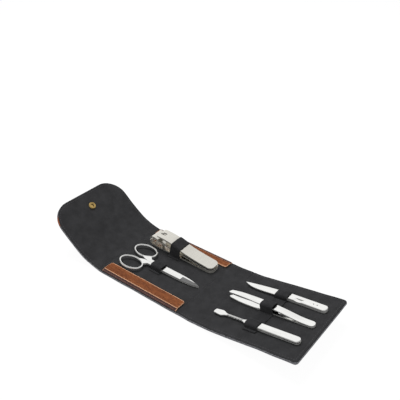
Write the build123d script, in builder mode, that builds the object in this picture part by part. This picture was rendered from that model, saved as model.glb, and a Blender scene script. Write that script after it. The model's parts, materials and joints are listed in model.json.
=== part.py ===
"""Manicure set in a wrap-style leather case, laid open.

The case is one long wrap: flap, upper spine, back panel, lower spine, front panel. The back panel lies on
the surface and holds scissors and a nail clipper; the front panel holds a cuticle knife, tweezers and a
cuticle pusher. X runs along the wrap towards the free end of the front panel, Y across it, Z up. The origin
is the middle of the back panel's underside. All sizes are in millimetres.
"""

import os
from math import cos, hypot, radians, sin, sqrt

from build123d import *

os.makedirs("parts", exist_ok=True)

# ---------------------------------------------------------------- case: driving dimensions
CASE_WIDTH = 90.0
BACK_LENGTH = 99.0  # between the two fold lines of the back panel
LOWER_SPINE = 25.0  # fold line to fold line, sets the room inside the shut case
UPPER_SPINE = 31.0  # fold line to fold line, along its bend
FRONT_LENGTH = 98.3
FLAP_LENGTH = 50.1
FLAP_CORNER = 22.0
FRONT_CORNER = 3.0
LEATHER = 1.8  # outer leather with its backing
LINING = 0.6
AXIS_DEPTH = 0.9  # of the fold lines below the lining's surface
FRONT_RISE = 10.45  # degrees that the front panel curls up when the case lies open
FLAP_RISE = 39.1  # degrees that the upper spine bends the flap up
LOWER_FOLD_PLAY = 0.22  # from a fold line to the rounded end of a panel
UPPER_FOLD_PLAY = 0.10
FLAP_FOLD_PLAY = 0.30
BOARD = 0.8
BOARD_MARGIN = 6.0
BOARD_PLAY = 0.2

# ---------------------------------------------------------------- gussets
GUSSET_LENGTH = 94.0
GUSSET_SHIFT = 1.0  # towards the lower spine
GUSSET_THICK = 1.1
GUSSET_CORNER = 2.0
NEAR_GUSSET_WIDTH = 11.2
GUSSET_ROOM = 0.85  # from the clipper's loop to the far gusset's free edge
FLANGE_WIDTH = 2.9
FLANGE_THICK = 0.8
FLANGE_MARGIN = 0.6  # from the case's edge
GUSSET_PLAY = 0.05  # on each side of a gusset's fold line

# ---------------------------------------------------------------- straps
STRAP_THICK = 0.8
BACK_STRAP_WIDTH = 13.0
BACK_STRAP_X = -4.2
FRONT_STRAP_WIDTH = 12.7
FRONT_STRAP_U = 44.85  # from the front panel's fold line
STRAP_TAB = 3.6  # sewn length beside a loop
SIDE_EASE = 0.45  # between a tool's side and its loop
SCISSORS_LOOP_Y = -7.5
SCISSORS_LOOP = 8.6  # inner width
SCISSORS_LOOP_H = 5.1
CLIPPER_LOOP_TALL = 14.9  # inside, at its front edge
CLIPPER_LOOP_LOW = 11.6
CLIPPER_LOOP_LEANS = (11.0, 6.0)  # degrees that its front and rear edges lean back, square to the lever
KNIFE_LOOP_H = 3.75
KNIFE_LOOP_EASE = 0.9
KNIFE_LOOP_SHIFT = -0.45  # of the loop's middle, towards the blade's curved edge
TWEEZERS_LOOP_H = 8.05
PUSHER_LOOP_H = 3.8

# ---------------------------------------------------------------- press button
BUTTON_U = 33.4  # from the flap's fold line
SOCKET_RADIUS = 3.75
SOCKET_HEIGHT = 1.7
SOCKET_BORE = 1.8
SOCKET_RIM = 0.5
CAP_RADIUS = 5.5
CAP_HEIGHT = 1.6
CAP_POST = 1.4
STUD_FLANGE = 3.6
STUD_FLANGE_THICK = 0.6
STUD_NECK = 1.15
STUD_BALL = 1.5
STUD_HEIGHT = 2.5
RIVET_FLANGE = 4.5
RIVET_FLANGE_THICK = 0.5
RIVET_PLAY = 0.05

# ---------------------------------------------------------------- nail clipper, heights above the lining
CLIPPER_Y = 24.1
CLIPPER_WIDTH = 14.2
CLIPPER_FRONT = -38.4
CLIPPER_REAR = 42.4
CLIPPER_CORNER = 5.0
ARM_THICK = 1.5
LOWER_ARM_LINE = [  # underside of the lower arm, rear to front
    (42.4, 0.3),
    (20.0, 0.6),
    (0.0, 1.0),
    (-14.0, 1.0),
    (-24.0, 0.95),
    (-31.5, 1.05),
    (-36.0, 2.1),
    (-37.8, 4.6),
    (-36.8, 7.6),
]
LOWER_ARM_EDGE = 7.0
UPPER_ARM_LINE = [
    (42.4, 2.1),
    (35.0, 2.1),
    (22.0, 3.6),
    (4.0, 5.7),
    (-12.0, 7.1),
    (-24.0, 8.8),
    (-31.0, 10.6),
    (-34.6, 10.6),
    (-36.6, 7.6),
]
UPPER_JAW_EDGE = 8.3
UPPER_JAW_FRONT = -33.5  # the jaw's bevel reaches back to here
LEVER_REAR = 42.0
LEVER_FRONT = -27.9
LEVER_CORNER = 1.5
LEVER_LINE = [(42.0, 4.5), (22.0, 6.4), (4.0, 9.5), (-8.0, 12.9), (-17.0, 14.2), (-28.0, 14.4)]
LEVER_THICK = 1.4
PIN_X = -25.5
PIN_RADIUS = 1.35
PIN_TOP = 16.9
PIN_FOOT = 2.7
PIN_FOOT_THICK = 0.5
PIN_FOOT_H = 0.2
PIN_PLAY = 0.3
ARM_RIVET_X = 36.0
ARM_RIVET_RADIUS = 1.5
ARM_RIVET_FOOT = 0.35
ARM_RIVET_SEAT = 3.75
ARM_RIVET_HEAD = 2.4
ARM_RIVET_HEAD_THICK = 0.5
LEVER_BAR_X = -27.2
LEVER_BAR_H = 15.1
LEVER_BAR_RADIUS = 0.7
NOTCH_PLAY = 0.15
WINDOW_WIDTH = 3.8
WINDOW_REAR = -20.5

# ---------------------------------------------------------------- scissors, in their own frame
SCISSORS_X = -3.3
SCISSORS_Y = -7.6
SCISSORS_TURN = 1.2  # degrees in plan
SCISSORS_TILT = 1.1  # degrees, handles higher than the tips
SCISSORS_H = 1.25  # underside at the pivot
BLADE_REACH = 48.6
BLADE_WIDTH = 6.9
POINT_START = 27.0  # where the edges begin to run to the point
POINT_WIDTH = 6.35  # of the blade there
POINT_BELLY = 4.7  # halfway from there to the point
BEVEL_START = 28.5  # of the ground face along the upper blade's near edge
BEVEL_LINE = 1.3  # of that face's upper edge from the blade's middle
BEVEL_DEPTH = 0.9  # at the near edge
HALF_THICK = 1.3
HALF_GAP = 0.05
RING_X = -27.4
RING_Y = 11.2
RING_LENGTH = 25.9  # of the oval that the wire follows
RING_WIDTH = 16.6
RING_END = 6.0  # radius of its two short arcs
WIRE = 1.0  # radius of the ring's wire
SHANK_RISE = 0.55
SHANK_THICK = 1.9
SHANK_WIDTH = 3.35
SHANK_SPLIT = -14.0  # where the two shanks part
SHANK_GAP = 0.05
SHANK_BEND = (-19.4, 0.77)
SHANK_END = (-24.5, 2.9)  # in the ring's wire
WEB_FRONT = -12.6  # where the web to the ring leaves the shank
WEB_REACH = (-16.2, 7.1)
HUB_RADIUS = 3.5
HUB_PLAY = 0.3
SCREW_RADIUS = 1.2
SCREW_HEAD = 2.2
SCREW_HEAD_THICK = 0.65
SCREW_PLAY = 0.05
SCREW_SLOT = 0.35

# ---------------------------------------------------------------- front tools, each in its own frame
TOOL_TURN_U = 45.0  # where each tool's frame crosses its strap
KNIFE_Y = 24.8
KNIFE_TURN = -3.1
KNIFE_TIP = -41.9  # along the tool from the strap
KNIFE_END = 44.9
KNIFE_WIDTH = 7.6
KNIFE_BLADE_THICK = 0.9
KNIFE_BLADE_H = 1.5
KNIFE_POINT_Y = -0.5
KNIFE_BACK = (-26.0, 1.75)
KNIFE_BELLY = [(-13.0, -4.25), (-22.5, -4.65), (-30.0, -4.35), (-34.5, -3.5), (-38.8, -2.0)]  # curved edge
KNIFE_TANG = 42.0
KNIFE_HANDLE = -5.0
KNIFE_HANDLE_WIDTH = 7.7
KNIFE_CORNER = 3.2
KNIFE_EDGE = 0.6
KNIFE_HANDLE_THICK = 3.1
KNIFE_HANDLE_H = 0.35
KNIFE_STEP = (13.0, 22.0)
KNIFE_STEP_DEPTH = 0.7
KNIFE_RIVETS = (31.6, 35.2)
KNIFE_RIVET_RADIUS = 0.55
KNIFE_RIVET_PROUD = 0.12

TWEEZERS_Y = 0.9
TWEEZERS_TURN = -1.5
TWEEZERS_TIP = (-43.0, -0.9)
TWEEZERS_END = 45.4
TWEEZERS_WIDTH = 6.7
TWEEZERS_TAPER = [(-10.0, 3.35), (-30.0, 2.7), (-41.2, 1.95)]  # far edge from the strap to the slanted tip
TWEEZERS_THICK = 1.1
TWEEZERS_CORNER = 3.2
TWEEZERS_LOWER = [(45.4, 0.45), (30.0, 0.4), (0.0, 0.4), (-36.0, 0.4), (-43.0, 1.3)]
TWEEZERS_UPPER = [
    (45.4, 1.6),
    (42.0, 1.6),
    (37.0, 1.63),
    (32.0, 1.9),
    (24.0, 3.0),
    (8.0, 5.3),
    (-10.0, 6.35),
    (-36.0, 6.7),
    (-43.0, 6.0),
]

PUSHER_Y = -23.4
PUSHER_TURN = -0.7
PUSHER_TIP = -42.2
PUSHER_END = 44.9
PUSHER_TIP_WIDTH = 4.7
PUSHER_BULGE = 0.5  # of the tip's curved end
PUSHER_WIDE = -33.0
PUSHER_WIDE_WIDTH = 5.8
PUSHER_NECK = -28.0
PUSHER_TWIST_END = -12.4
PUSHER_TWIST_SIDE = 2.1  # of the flat bar that is twisted
PUSHER_TWIST_THIN = 1.2
PUSHER_TWIST_TURN = 1060.0  # degrees, to the left
PUSHER_FLARE = -6.2
PUSHER_WIDTH = 7.1
PUSHER_THICK = 1.0
PUSHER_H = 1.4
PUSHER_HANDLE = -4.6
PUSHER_HANDLE_HALF = 1.2  # of each handle half above or below the flat
PUSHER_TANG = 36.0
PUSHER_CORNER = 3.3
PUSHER_EDGE = 0.6
PUSHER_SEAM = 0.6  # groove that runs along the handle between its halves
PUSHER_SEAM_DEPTH = 0.6

# ---------------------------------------------------------------- values that follow
SHELL = LEATHER + LINING  # thickness of every panel and spine
NOSE = SHELL / 2  # radius of the rounded end at a fold
HALF_WIDTH = CASE_WIDTH / 2
LAYERS = {"leather": (-SHELL, -LINING), "lining": (-LINING, 0.0)}
RISE = radians(FRONT_RISE)
BEND = radians(FLAP_RISE)
BEND_RADIUS = UPPER_SPINE / BEND  # of the upper spine, at the depth of the fold lines
FRONT_FOLD_X = BACK_LENGTH / 2 + LOWER_SPINE
FLAP_FOLD_X = -BACK_LENGTH / 2 - BEND_RADIUS * sin(BEND)
FLAP_FOLD_Z = SHELL - AXIS_DEPTH + BEND_RADIUS * (1 - cos(BEND))
STUD_U = BACK_LENGTH - BUTTON_U  # where the shut flap's button meets the front panel
GUSSET_FOLD_Y = HALF_WIDTH - FLANGE_MARGIN - FLANGE_WIDTH - GUSSET_PLAY
CLIPPER_LOOP = CLIPPER_WIDTH + 2 * SIDE_EASE  # inner width
CLIPPER_LOOP_SIDE = CLIPPER_Y + CLIPPER_LOOP / 2 + STRAP_THICK
FAR_GUSSET_WIDTH = GUSSET_FOLD_Y - GUSSET_PLAY - GUSSET_ROOM - CLIPPER_LOOP_SIDE
PLATE_STEPS = 16  # a bent plate's upper line has this many spans
EVER = 60.0  # a cut's reach, beyond any tool's height

BACK = Plane(origin=(0, 0, SHELL))
LOWER = Plane(origin=(BACK_LENGTH / 2, 0, SHELL))
UPPER = Plane(origin=(-BACK_LENGTH / 2, 0, SHELL), x_dir=(-1, 0, 0), z_dir=(0, 0, 1))
FRONT = Plane(
    origin=(FRONT_FOLD_X - AXIS_DEPTH * sin(RISE), 0, SHELL - AXIS_DEPTH + AXIS_DEPTH * cos(RISE)),
    x_dir=(cos(RISE), 0, sin(RISE)),
    z_dir=(-sin(RISE), 0, cos(RISE)),
)
FLAP = Plane(
    origin=(FLAP_FOLD_X + AXIS_DEPTH * sin(BEND), 0, FLAP_FOLD_Z + AXIS_DEPTH * cos(BEND)),
    x_dir=(-cos(BEND), 0, sin(BEND)),
    z_dir=(sin(BEND), 0, cos(BEND)),
)


def moved(frame, x, y, z=0.0, turn=0.0, tilt=0.0):
    """A frame on a panel, moved, turned in plan and tipped end down, in degrees."""
    return Plane(frame.location * Location((x, y, z)) * Location((0, 0, 0), (0, tilt, turn)))


def side_view(frame):
    """Side view of a frame: along it and up, seen across it."""
    return Plane(origin=frame.origin, x_dir=frame.x_dir, z_dir=frame.x_dir.cross(frame.z_dir))


def end_view(frame, along, lean=0.0):
    """Cross section of a frame: across it and up, at a place along it, leaning back by degrees."""
    tipped = moved(frame, along, 0, tilt=lean)
    return Plane(origin=tipped.origin, x_dir=tipped.y_dir, z_dir=tipped.x_dir)


CLIPPER = moved(BACK, 0, CLIPPER_Y)
SCISSORS = moved(BACK, SCISSORS_X, SCISSORS_Y, SCISSORS_H, SCISSORS_TURN, SCISSORS_TILT)
KNIFE = moved(FRONT, TOOL_TURN_U, KNIFE_Y, turn=KNIFE_TURN)
TWEEZERS = moved(FRONT, TOOL_TURN_U, TWEEZERS_Y, turn=TWEEZERS_TURN)
PUSHER = moved(FRONT, TOOL_TURN_U, PUSHER_Y, turn=PUSHER_TURN)


def export(piece, name):
    piece.label = name
    export_step(piece, f"parts/{name}.step")


# ---------------------------------------------------------------- panels and spines
def straight(u, w):
    return (u, w)


def bent(u, w):
    """A point of the upper spine: u along its fold-line depth, w up from its lining."""
    reach = BEND_RADIUS - AXIS_DEPTH - w
    return (reach * sin(u / BEND_RADIUS), BEND_RADIUS - AXIS_DEPTH - reach * cos(u / BEND_RADIUS))


def nose_inset(w):
    """How far the rounded end of a panel stands back at height w."""
    return NOSE - sqrt(max(0.0, NOSE**2 - (w + NOSE) ** 2))


def make_layer(layer, frame, start, end, point=straight, free_end=False):
    """One layer over the case's full width, rounded at each fold, square at a free end."""
    low, high = LAYERS[layer]
    middle = (low + high) / 2

    def near(w):
        return point(start + nose_inset(w), w)

    def far(w):
        return (end, w) if free_end else point(end - nose_inset(w), w)

    with BuildPart() as sheet:
        with BuildSketch(side_view(frame)):
            with BuildLine():
                if point is straight:
                    Line(near(low), far(low))
                    Line(far(high), near(high))
                else:
                    ThreePointArc(near(low), point((start + end) / 2, low), far(low))
                    ThreePointArc(far(high), point((start + end) / 2, high), near(high))
                if free_end:
                    Line(far(low), far(high))
                else:
                    ThreePointArc(far(low), far(middle), far(high))
                ThreePointArc(near(high), near(middle), near(low))
            make_face()
        extrude(amount=HALF_WIDTH, both=True)
    return sheet.part


def free_corners(builder, frame):
    """The two upright edges at a panel's free end."""
    upright = builder.edges().filter_by(Axis(frame.origin, frame.z_dir))
    return upright.group_by(Axis(frame.origin, frame.x_dir))[-1]


def board_plan(frame, start, end, margin, hole_radius=0.0):
    """A panel's stiffening board, or the pocket for it, in plan under the lining."""
    with BuildSketch(frame.offset(-LINING)) as plan:
        with Locations(((start + end) / 2, 0)):
            Rectangle(end - start - 2 * margin, CASE_WIDTH - 2 * margin)
        if hole_radius:
            with Locations((STUD_U, 0)):
                Circle(hole_radius, mode=Mode.SUBTRACT)
    return plan.sketch


def make_back_panel():
    start = -BACK_LENGTH / 2 + UPPER_FOLD_PLAY
    end = BACK_LENGTH / 2 - LOWER_FOLD_PLAY
    with BuildPart() as back_leather:
        add(make_layer("leather", BACK, start, end))
        extrude(board_plan(BACK, start, end, BOARD_MARGIN), amount=-BOARD, mode=Mode.SUBTRACT)
    export(back_leather.part, "back_leather")
    export(make_layer("lining", BACK, start, end), "back_lining")
    with BuildPart() as back_board:
        extrude(board_plan(BACK, start, end, BOARD_MARGIN + BOARD_PLAY), amount=-BOARD)
    export(back_board.part, "back_board")


def make_spines():
    for layer in LAYERS:
        start, end = LOWER_FOLD_PLAY, LOWER_SPINE - LOWER_FOLD_PLAY
        export(make_layer(layer, LOWER, start, end), f"lower_spine_{layer}")
        start, end = UPPER_FOLD_PLAY, UPPER_SPINE - FLAP_FOLD_PLAY
        export(make_layer(layer, UPPER, start, end, bent), f"upper_spine_{layer}")


def make_front_panel():
    start, end = LOWER_FOLD_PLAY, FRONT_LENGTH
    with BuildPart() as front_leather:
        add(make_layer("leather", FRONT, start, end, free_end=True))
        fillet(free_corners(front_leather, FRONT), FRONT_CORNER)
        extrude(board_plan(FRONT, start, end, BOARD_MARGIN), amount=-BOARD, mode=Mode.SUBTRACT)
        with BuildSketch(FRONT.offset(-SHELL)):
            with Locations((STUD_U, 0)):
                Circle(STUD_NECK + RIVET_PLAY)
        extrude(amount=LEATHER, mode=Mode.SUBTRACT)
    export(front_leather.part, "front_leather")
    with BuildPart() as front_lining:
        add(make_layer("lining", FRONT, start, end, free_end=True))
        fillet(free_corners(front_lining, FRONT), FRONT_CORNER)
    export(front_lining.part, "front_lining")
    with BuildPart() as front_board:
        plan = board_plan(FRONT, start, end, BOARD_MARGIN + BOARD_PLAY, RIVET_FLANGE + RIVET_PLAY)
        extrude(plan, amount=-BOARD)
    export(front_board.part, "front_board")


def make_flap():
    for layer in LAYERS:
        with BuildPart() as sheet:
            add(make_layer(layer, FLAP, FLAP_FOLD_PLAY, FLAP_LENGTH, free_end=True))
            fillet(free_corners(sheet, FLAP), FLAP_CORNER)
            with BuildSketch(FLAP.offset(-SHELL)):
                with Locations((BUTTON_U, 0)):
                    Circle(CAP_POST + RIVET_PLAY)
            extrude(amount=SHELL, mode=Mode.SUBTRACT)
        export(sheet.part, f"flap_{layer}")


# ---------------------------------------------------------------- press button
def make_turned(name, frame, u, half_section):
    """A round piece standing at u on a panel, from its half section of radii and heights."""
    foot = moved(frame, u, 0)
    with BuildPart() as piece:
        with BuildSketch(side_view(foot)):
            with BuildLine():
                Polyline(*half_section, close=True)
            make_face()
        revolve(axis=Axis(foot.origin, foot.z_dir))
    export(piece.part, name)


def make_press_button():
    outside = -SHELL
    socket = [
        (SOCKET_BORE, 0),
        (SOCKET_RADIUS, 0),
        (SOCKET_RADIUS, SOCKET_HEIGHT - SOCKET_RIM),
        (SOCKET_RADIUS - SOCKET_RIM, SOCKET_HEIGHT),
        (SOCKET_RADIUS - 2 * SOCKET_RIM, SOCKET_HEIGHT),
        (SOCKET_RADIUS - 3 * SOCKET_RIM, SOCKET_HEIGHT - SOCKET_RIM),
        (SOCKET_BORE, SOCKET_HEIGHT - SOCKET_RIM),
    ]
    make_turned("snap_socket", FLAP, BUTTON_U, socket)
    cap = [
        (0, 0),
        (CAP_POST, 0),
        (CAP_POST, outside),
        (CAP_RADIUS, outside),
        (CAP_RADIUS, outside - 0.2 * CAP_HEIGHT),
        (0.8 * CAP_RADIUS, outside - 0.7 * CAP_HEIGHT),
        (0.45 * CAP_RADIUS, outside - 0.93 * CAP_HEIGHT),
        (0, outside - CAP_HEIGHT),
    ]
    make_turned("snap_cap", FLAP, BUTTON_U, cap)
    stud = [
        (0, outside),
        (STUD_FLANGE, outside),
        (STUD_FLANGE, outside - STUD_FLANGE_THICK),
        (STUD_NECK, outside - STUD_FLANGE_THICK),
        (STUD_NECK, outside - 0.5 * STUD_HEIGHT),
        (STUD_BALL, outside - 0.65 * STUD_HEIGHT),
        (STUD_BALL, outside - 0.85 * STUD_HEIGHT),
        (0.7 * STUD_BALL, outside - STUD_HEIGHT),
        (0, outside - STUD_HEIGHT),
    ]
    make_turned("snap_stud", FRONT, STUD_U, stud)
    seat = -LINING - BOARD
    rivet = [
        (0, outside),
        (STUD_NECK, outside),
        (STUD_NECK, seat),
        (RIVET_FLANGE, seat),
        (RIVET_FLANGE, seat + RIVET_FLANGE_THICK),
        (0, seat + RIVET_FLANGE_THICK),
    ]
    make_turned("snap_rivet", FRONT, STUD_U, rivet)


# ---------------------------------------------------------------- gussets
def make_gusset(name, side, width):
    """The sewn flange and the folding wall of one gusset; side is -1 near, +1 far."""
    with BuildPart() as flange:
        with BuildSketch(BACK):
            with Locations((GUSSET_SHIFT, side * (GUSSET_FOLD_Y + GUSSET_PLAY + FLANGE_WIDTH / 2))):
                Rectangle(GUSSET_LENGTH, FLANGE_WIDTH)
        extrude(amount=FLANGE_THICK)
    export(flange.part, f"{name}_flange")
    with BuildPart() as wall:
        with BuildSketch(BACK.offset(FLANGE_THICK + 2 * GUSSET_PLAY)):
            with Locations((GUSSET_SHIFT, side * (GUSSET_FOLD_Y - GUSSET_PLAY - width / 2))):
                Rectangle(GUSSET_LENGTH, width)
        extrude(amount=GUSSET_THICK)
        free_side = wall.edges().filter_by(Axis.Z).group_by(Axis.Y)[0 if side > 0 else -1]
        fillet(free_side, GUSSET_CORNER)
    export(wall.part, name)


# ---------------------------------------------------------------- straps
def arch(section_frame, y, width, height, corner):
    """The cross section of a loop, or of its hollow: straight legs and a rounded top."""
    with BuildSketch(section_frame) as section:
        with Locations((y, height / 2)):
            Rectangle(width, height)
        fillet(section.vertices().group_by(Axis.Y)[-1], corner)
    return section.sketch


def flat_strap(frame, along, low_y, high_y):
    with BuildSketch(end_view(frame, along)) as section:
        with Locations(((low_y + high_y) / 2, STRAP_THICK / 2)):
            Rectangle(high_y - low_y, STRAP_THICK)
    return section.sketch


# A loop's leather, and the hollow inside it: growth all round, corner radius, mode.
LOOP_SHAPES = ((STRAP_THICK, 2 * STRAP_THICK, Mode.ADD), (0.0, STRAP_THICK, Mode.SUBTRACT))


def make_strap(name, frame, along, width, loops, low_y, high_y):
    """A flat strap across a panel that arches over each tool; loops are (y, width, height)."""
    section_frame = end_view(frame, along)
    with BuildPart() as strap:
        extrude(flat_strap(frame, along, low_y, high_y), amount=width / 2, both=True)
        for grow, corner, mode in LOOP_SHAPES:
            for y, inner, height in loops:
                section = arch(section_frame, y, inner + 2 * grow, height + grow, corner)
                extrude(section, amount=width / 2, both=True, mode=mode)
    export(strap.part, name)


def make_clipper_strap():
    """The strap over the clipper: its arch is tall at the lever's front and lower behind it."""
    half = BACK_STRAP_WIDTH / 2
    side = CLIPPER_LOOP / 2 + STRAP_TAB
    edges = (BACK_STRAP_X - half, BACK_STRAP_X + half)
    heights = (CLIPPER_LOOP_TALL, CLIPPER_LOOP_LOW)
    with BuildPart() as strap:
        extrude(flat_strap(BACK, BACK_STRAP_X, CLIPPER_Y - side, CLIPPER_Y + side), amount=half, both=True)
        for grow, corner, mode in LOOP_SHAPES:
            ends = []
            for x, height, lean in zip(edges, heights, CLIPPER_LOOP_LEANS):
                section_frame = end_view(BACK, x, lean)
                ends.append(arch(section_frame, CLIPPER_Y, CLIPPER_LOOP + 2 * grow, height + grow, corner))
            loft(ends, mode=mode)
    export(strap.part, "clipper_strap")


def make_straps():
    side = SCISSORS_LOOP / 2 + STRAP_TAB
    loops = [(SCISSORS_LOOP_Y, SCISSORS_LOOP, SCISSORS_LOOP_H)]
    ends = (SCISSORS_LOOP_Y - side, SCISSORS_LOOP_Y + side)
    make_strap("scissors_strap", BACK, BACK_STRAP_X, BACK_STRAP_WIDTH, loops, *ends)
    make_clipper_strap()
    loops = [
        (KNIFE_Y + KNIFE_LOOP_SHIFT, KNIFE_WIDTH + 2 * KNIFE_LOOP_EASE, KNIFE_LOOP_H),
        (TWEEZERS_Y, TWEEZERS_WIDTH + 2 * SIDE_EASE, TWEEZERS_LOOP_H),
        (PUSHER_Y, PUSHER_WIDTH + 2 * SIDE_EASE, PUSHER_LOOP_H),
    ]
    low = PUSHER_Y - PUSHER_WIDTH / 2 - SIDE_EASE - STRAP_TAB
    high = KNIFE_Y + KNIFE_LOOP_SHIFT + KNIFE_WIDTH / 2 + KNIFE_LOOP_EASE + STRAP_TAB
    make_strap("front_strap", FRONT, FRONT_STRAP_U, FRONT_STRAP_WIDTH, loops, low, high)


# ---------------------------------------------------------------- shared tool shapes
def plate_side(frame, points, thick):
    """A bent plate in side view: a smooth lower line and its copy raised square to it."""
    with BuildSketch(side_view(frame)) as side:
        with BuildLine():
            lower = Spline(*points)
            raised = []
            for step in range(PLATE_STEPS + 1):
                at = step / PLATE_STEPS
                ahead = lower % at
                raised.append((lower @ at) + Vector(ahead.Y, -ahead.X) * thick)
            upper = Spline(*raised)
            Line(lower @ 0, upper @ 0)
            Line(lower @ 1, upper @ 1)
        make_face()
    return side.sketch


def box_plan(frame, start, end, width, rear_corner=0.0, front_corner=0.0):
    """A rectangle in plan along a frame, with its rear or front corners rounded."""
    with BuildSketch(frame) as plan:
        with Locations(((start + end) / 2, 0)):
            Rectangle(end - start, width)
        if rear_corner:
            fillet(plan.vertices().group_by(Axis.X)[-1], rear_corner)
        if front_corner:
            fillet(plan.vertices().group_by(Axis.X)[0], front_corner)
    return plan.sketch


def disc(frame, x, radius):
    with BuildSketch(frame) as plan:
        with Locations((x, 0)):
            Circle(radius)
    return plan.sketch


def round_bar(frame, x, z, radius):
    """The section of a bar that lies across a frame."""
    with BuildSketch(side_view(frame)) as section:
        with Locations((x, z)):
            Circle(radius)
    return section.sketch


# ---------------------------------------------------------------- nail clipper
def make_clipper_arms():
    outline = box_plan(CLIPPER, CLIPPER_FRONT, CLIPPER_REAR, CLIPPER_WIDTH, CLIPPER_CORNER)
    with BuildPart() as lower_arm:
        extrude(plate_side(CLIPPER, LOWER_ARM_LINE, ARM_THICK), amount=CLIPPER_WIDTH / 2, both=True)
        extrude(outline, amount=LOWER_ARM_EDGE, mode=Mode.INTERSECT)
        extrude(disc(CLIPPER, PIN_X, PIN_RADIUS + PIN_PLAY), amount=EVER, mode=Mode.SUBTRACT)
        extrude(disc(CLIPPER, ARM_RIVET_X, ARM_RIVET_RADIUS), amount=EVER, mode=Mode.SUBTRACT)
    export(lower_arm.part, "clipper_lower_arm")
    with BuildPart() as upper_arm:
        extrude(plate_side(CLIPPER, UPPER_ARM_LINE, ARM_THICK), amount=CLIPPER_WIDTH / 2, both=True)
        extrude(outline, amount=EVER, mode=Mode.INTERSECT)
        jaw = box_plan(CLIPPER, CLIPPER_FRONT - ARM_THICK, UPPER_JAW_FRONT, CLIPPER_WIDTH)
        extrude(jaw, amount=UPPER_JAW_EDGE, mode=Mode.SUBTRACT)
        extrude(disc(CLIPPER, PIN_X, PIN_RADIUS + PIN_PLAY), amount=EVER, mode=Mode.SUBTRACT)
        extrude(disc(CLIPPER, ARM_RIVET_X, ARM_RIVET_RADIUS + PIN_PLAY), amount=EVER, mode=Mode.SUBTRACT)
    export(upper_arm.part, "clipper_upper_arm")


def make_clipper_rivet():
    """Joins the two arms at their rear; its head stands on the upper arm with a little play."""
    foot = CLIPPER.offset(ARM_RIVET_FOOT)
    seat = CLIPPER.offset(ARM_RIVET_SEAT)
    with BuildPart() as rivet:
        extrude(disc(foot, ARM_RIVET_X, ARM_RIVET_RADIUS), amount=ARM_RIVET_SEAT - ARM_RIVET_FOOT)
        extrude(disc(seat, ARM_RIVET_X, ARM_RIVET_HEAD), amount=ARM_RIVET_HEAD_THICK)
        fillet(rivet.edges().group_by(Axis.Z)[-1], 0.6 * ARM_RIVET_HEAD_THICK)
    export(rivet.part, "clipper_rivet")


def make_clipper_pin():
    foot = CLIPPER.offset(PIN_FOOT_H)
    with BuildPart() as pin:
        extrude(disc(foot, PIN_X, PIN_RADIUS), amount=PIN_TOP - PIN_FOOT_H)
        extrude(disc(foot, PIN_X, PIN_FOOT), amount=PIN_FOOT_THICK)
        fillet(pin.edges().group_by(Axis.Z)[-1], 0.6 * PIN_RADIUS)
        notch = round_bar(CLIPPER, LEVER_BAR_X, LEVER_BAR_H, LEVER_BAR_RADIUS + NOTCH_PLAY)
        extrude(notch, amount=2 * PIN_RADIUS, both=True, mode=Mode.SUBTRACT)
    export(pin.part, "clipper_pin")


def make_clipper_lever():
    """A bent plate whose window goes round the pin; a bar across it sits in the pin's notch."""
    with BuildPart() as lever:
        extrude(plate_side(CLIPPER, LEVER_LINE, LEVER_THICK), amount=CLIPPER_WIDTH / 2, both=True)
        outline = box_plan(CLIPPER, LEVER_FRONT, LEVER_REAR, CLIPPER_WIDTH, CLIPPER_CORNER, LEVER_CORNER)
        extrude(outline, amount=EVER, mode=Mode.INTERSECT)
        window = box_plan(CLIPPER, LEVER_FRONT - LEVER_THICK, WINDOW_REAR, WINDOW_WIDTH, WINDOW_WIDTH / 3)
        extrude(window, amount=EVER, mode=Mode.SUBTRACT)
        bar = round_bar(CLIPPER, LEVER_BAR_X, LEVER_BAR_H, LEVER_BAR_RADIUS)
        extrude(bar, amount=WINDOW_WIDTH / 2 + LEVER_BAR_RADIUS, both=True)
    export(lever.part, "clipper_lever")


# ---------------------------------------------------------------- scissors
def blade_plan(frame):
    """A blade in plan: a round hub and two edges that run forward and curve to the point."""
    half = BLADE_WIDTH / 2
    shoulder = POINT_WIDTH / 2
    belly = ((POINT_START + BLADE_REACH) / 2, POINT_BELLY / 2)
    with BuildSketch(frame) as plan:
        with BuildLine():
            Polyline((POINT_START, shoulder), (0, half), (0, -half), (POINT_START, -shoulder))
            ThreePointArc((POINT_START, -shoulder), (belly[0], -belly[1]), (BLADE_REACH, 0))
            ThreePointArc((BLADE_REACH, 0), belly, (POINT_START, shoulder))
        make_face()
        Circle(HUB_RADIUS)
    return plan.sketch


def shank_plan(frame, side):
    """A shank that curves away from its partner into the ring, with a web to the ring's front."""
    inner = side * SHANK_GAP
    outer = side * (SHANK_GAP + SHANK_WIDTH)
    reach = (WEB_REACH[0], side * WEB_REACH[1])
    end = (SHANK_END[0], side * SHANK_END[1])
    with BuildSketch(frame) as plan:
        with BuildLine():
            Polyline(end, reach, (WEB_FRONT, outer), (0, outer), (0, inner), (SHANK_SPLIT, inner))
            ThreePointArc((SHANK_SPLIT, inner), (SHANK_BEND[0], side * SHANK_BEND[1]), end)
        make_face()
    return plan.sketch


def make_ring(side):
    """A finger ring: round wire that follows an oval made of four arcs."""
    long, wide = RING_LENGTH / 2, RING_WIDTH / 2
    x, y = long - RING_END, wide - RING_END
    reach = (x * x - y * y) / (2 * y)  # from the ring's middle to the centre of a long arc
    stretch = (wide + reach) / hypot(x, reach)
    x, y = x * stretch, reach * stretch - reach  # where a long arc meets a short one
    with BuildLine(moved(SCISSORS, RING_X, side * RING_Y, SHANK_RISE + SHANK_THICK / 2)) as path:
        ThreePointArc((x, -y), (long, 0), (x, y))
        ThreePointArc((x, y), (0, wide), (-x, y))
        ThreePointArc((-x, y), (-long, 0), (-x, -y))
        ThreePointArc((-x, -y), (0, -wide), (x, -y))
    oval = path.wires()[0]
    with BuildSketch(Plane(origin=oval @ 0, z_dir=oval % 0)) as section:
        Circle(WIRE)
    sweep(section.sketch, path=oval)


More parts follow.
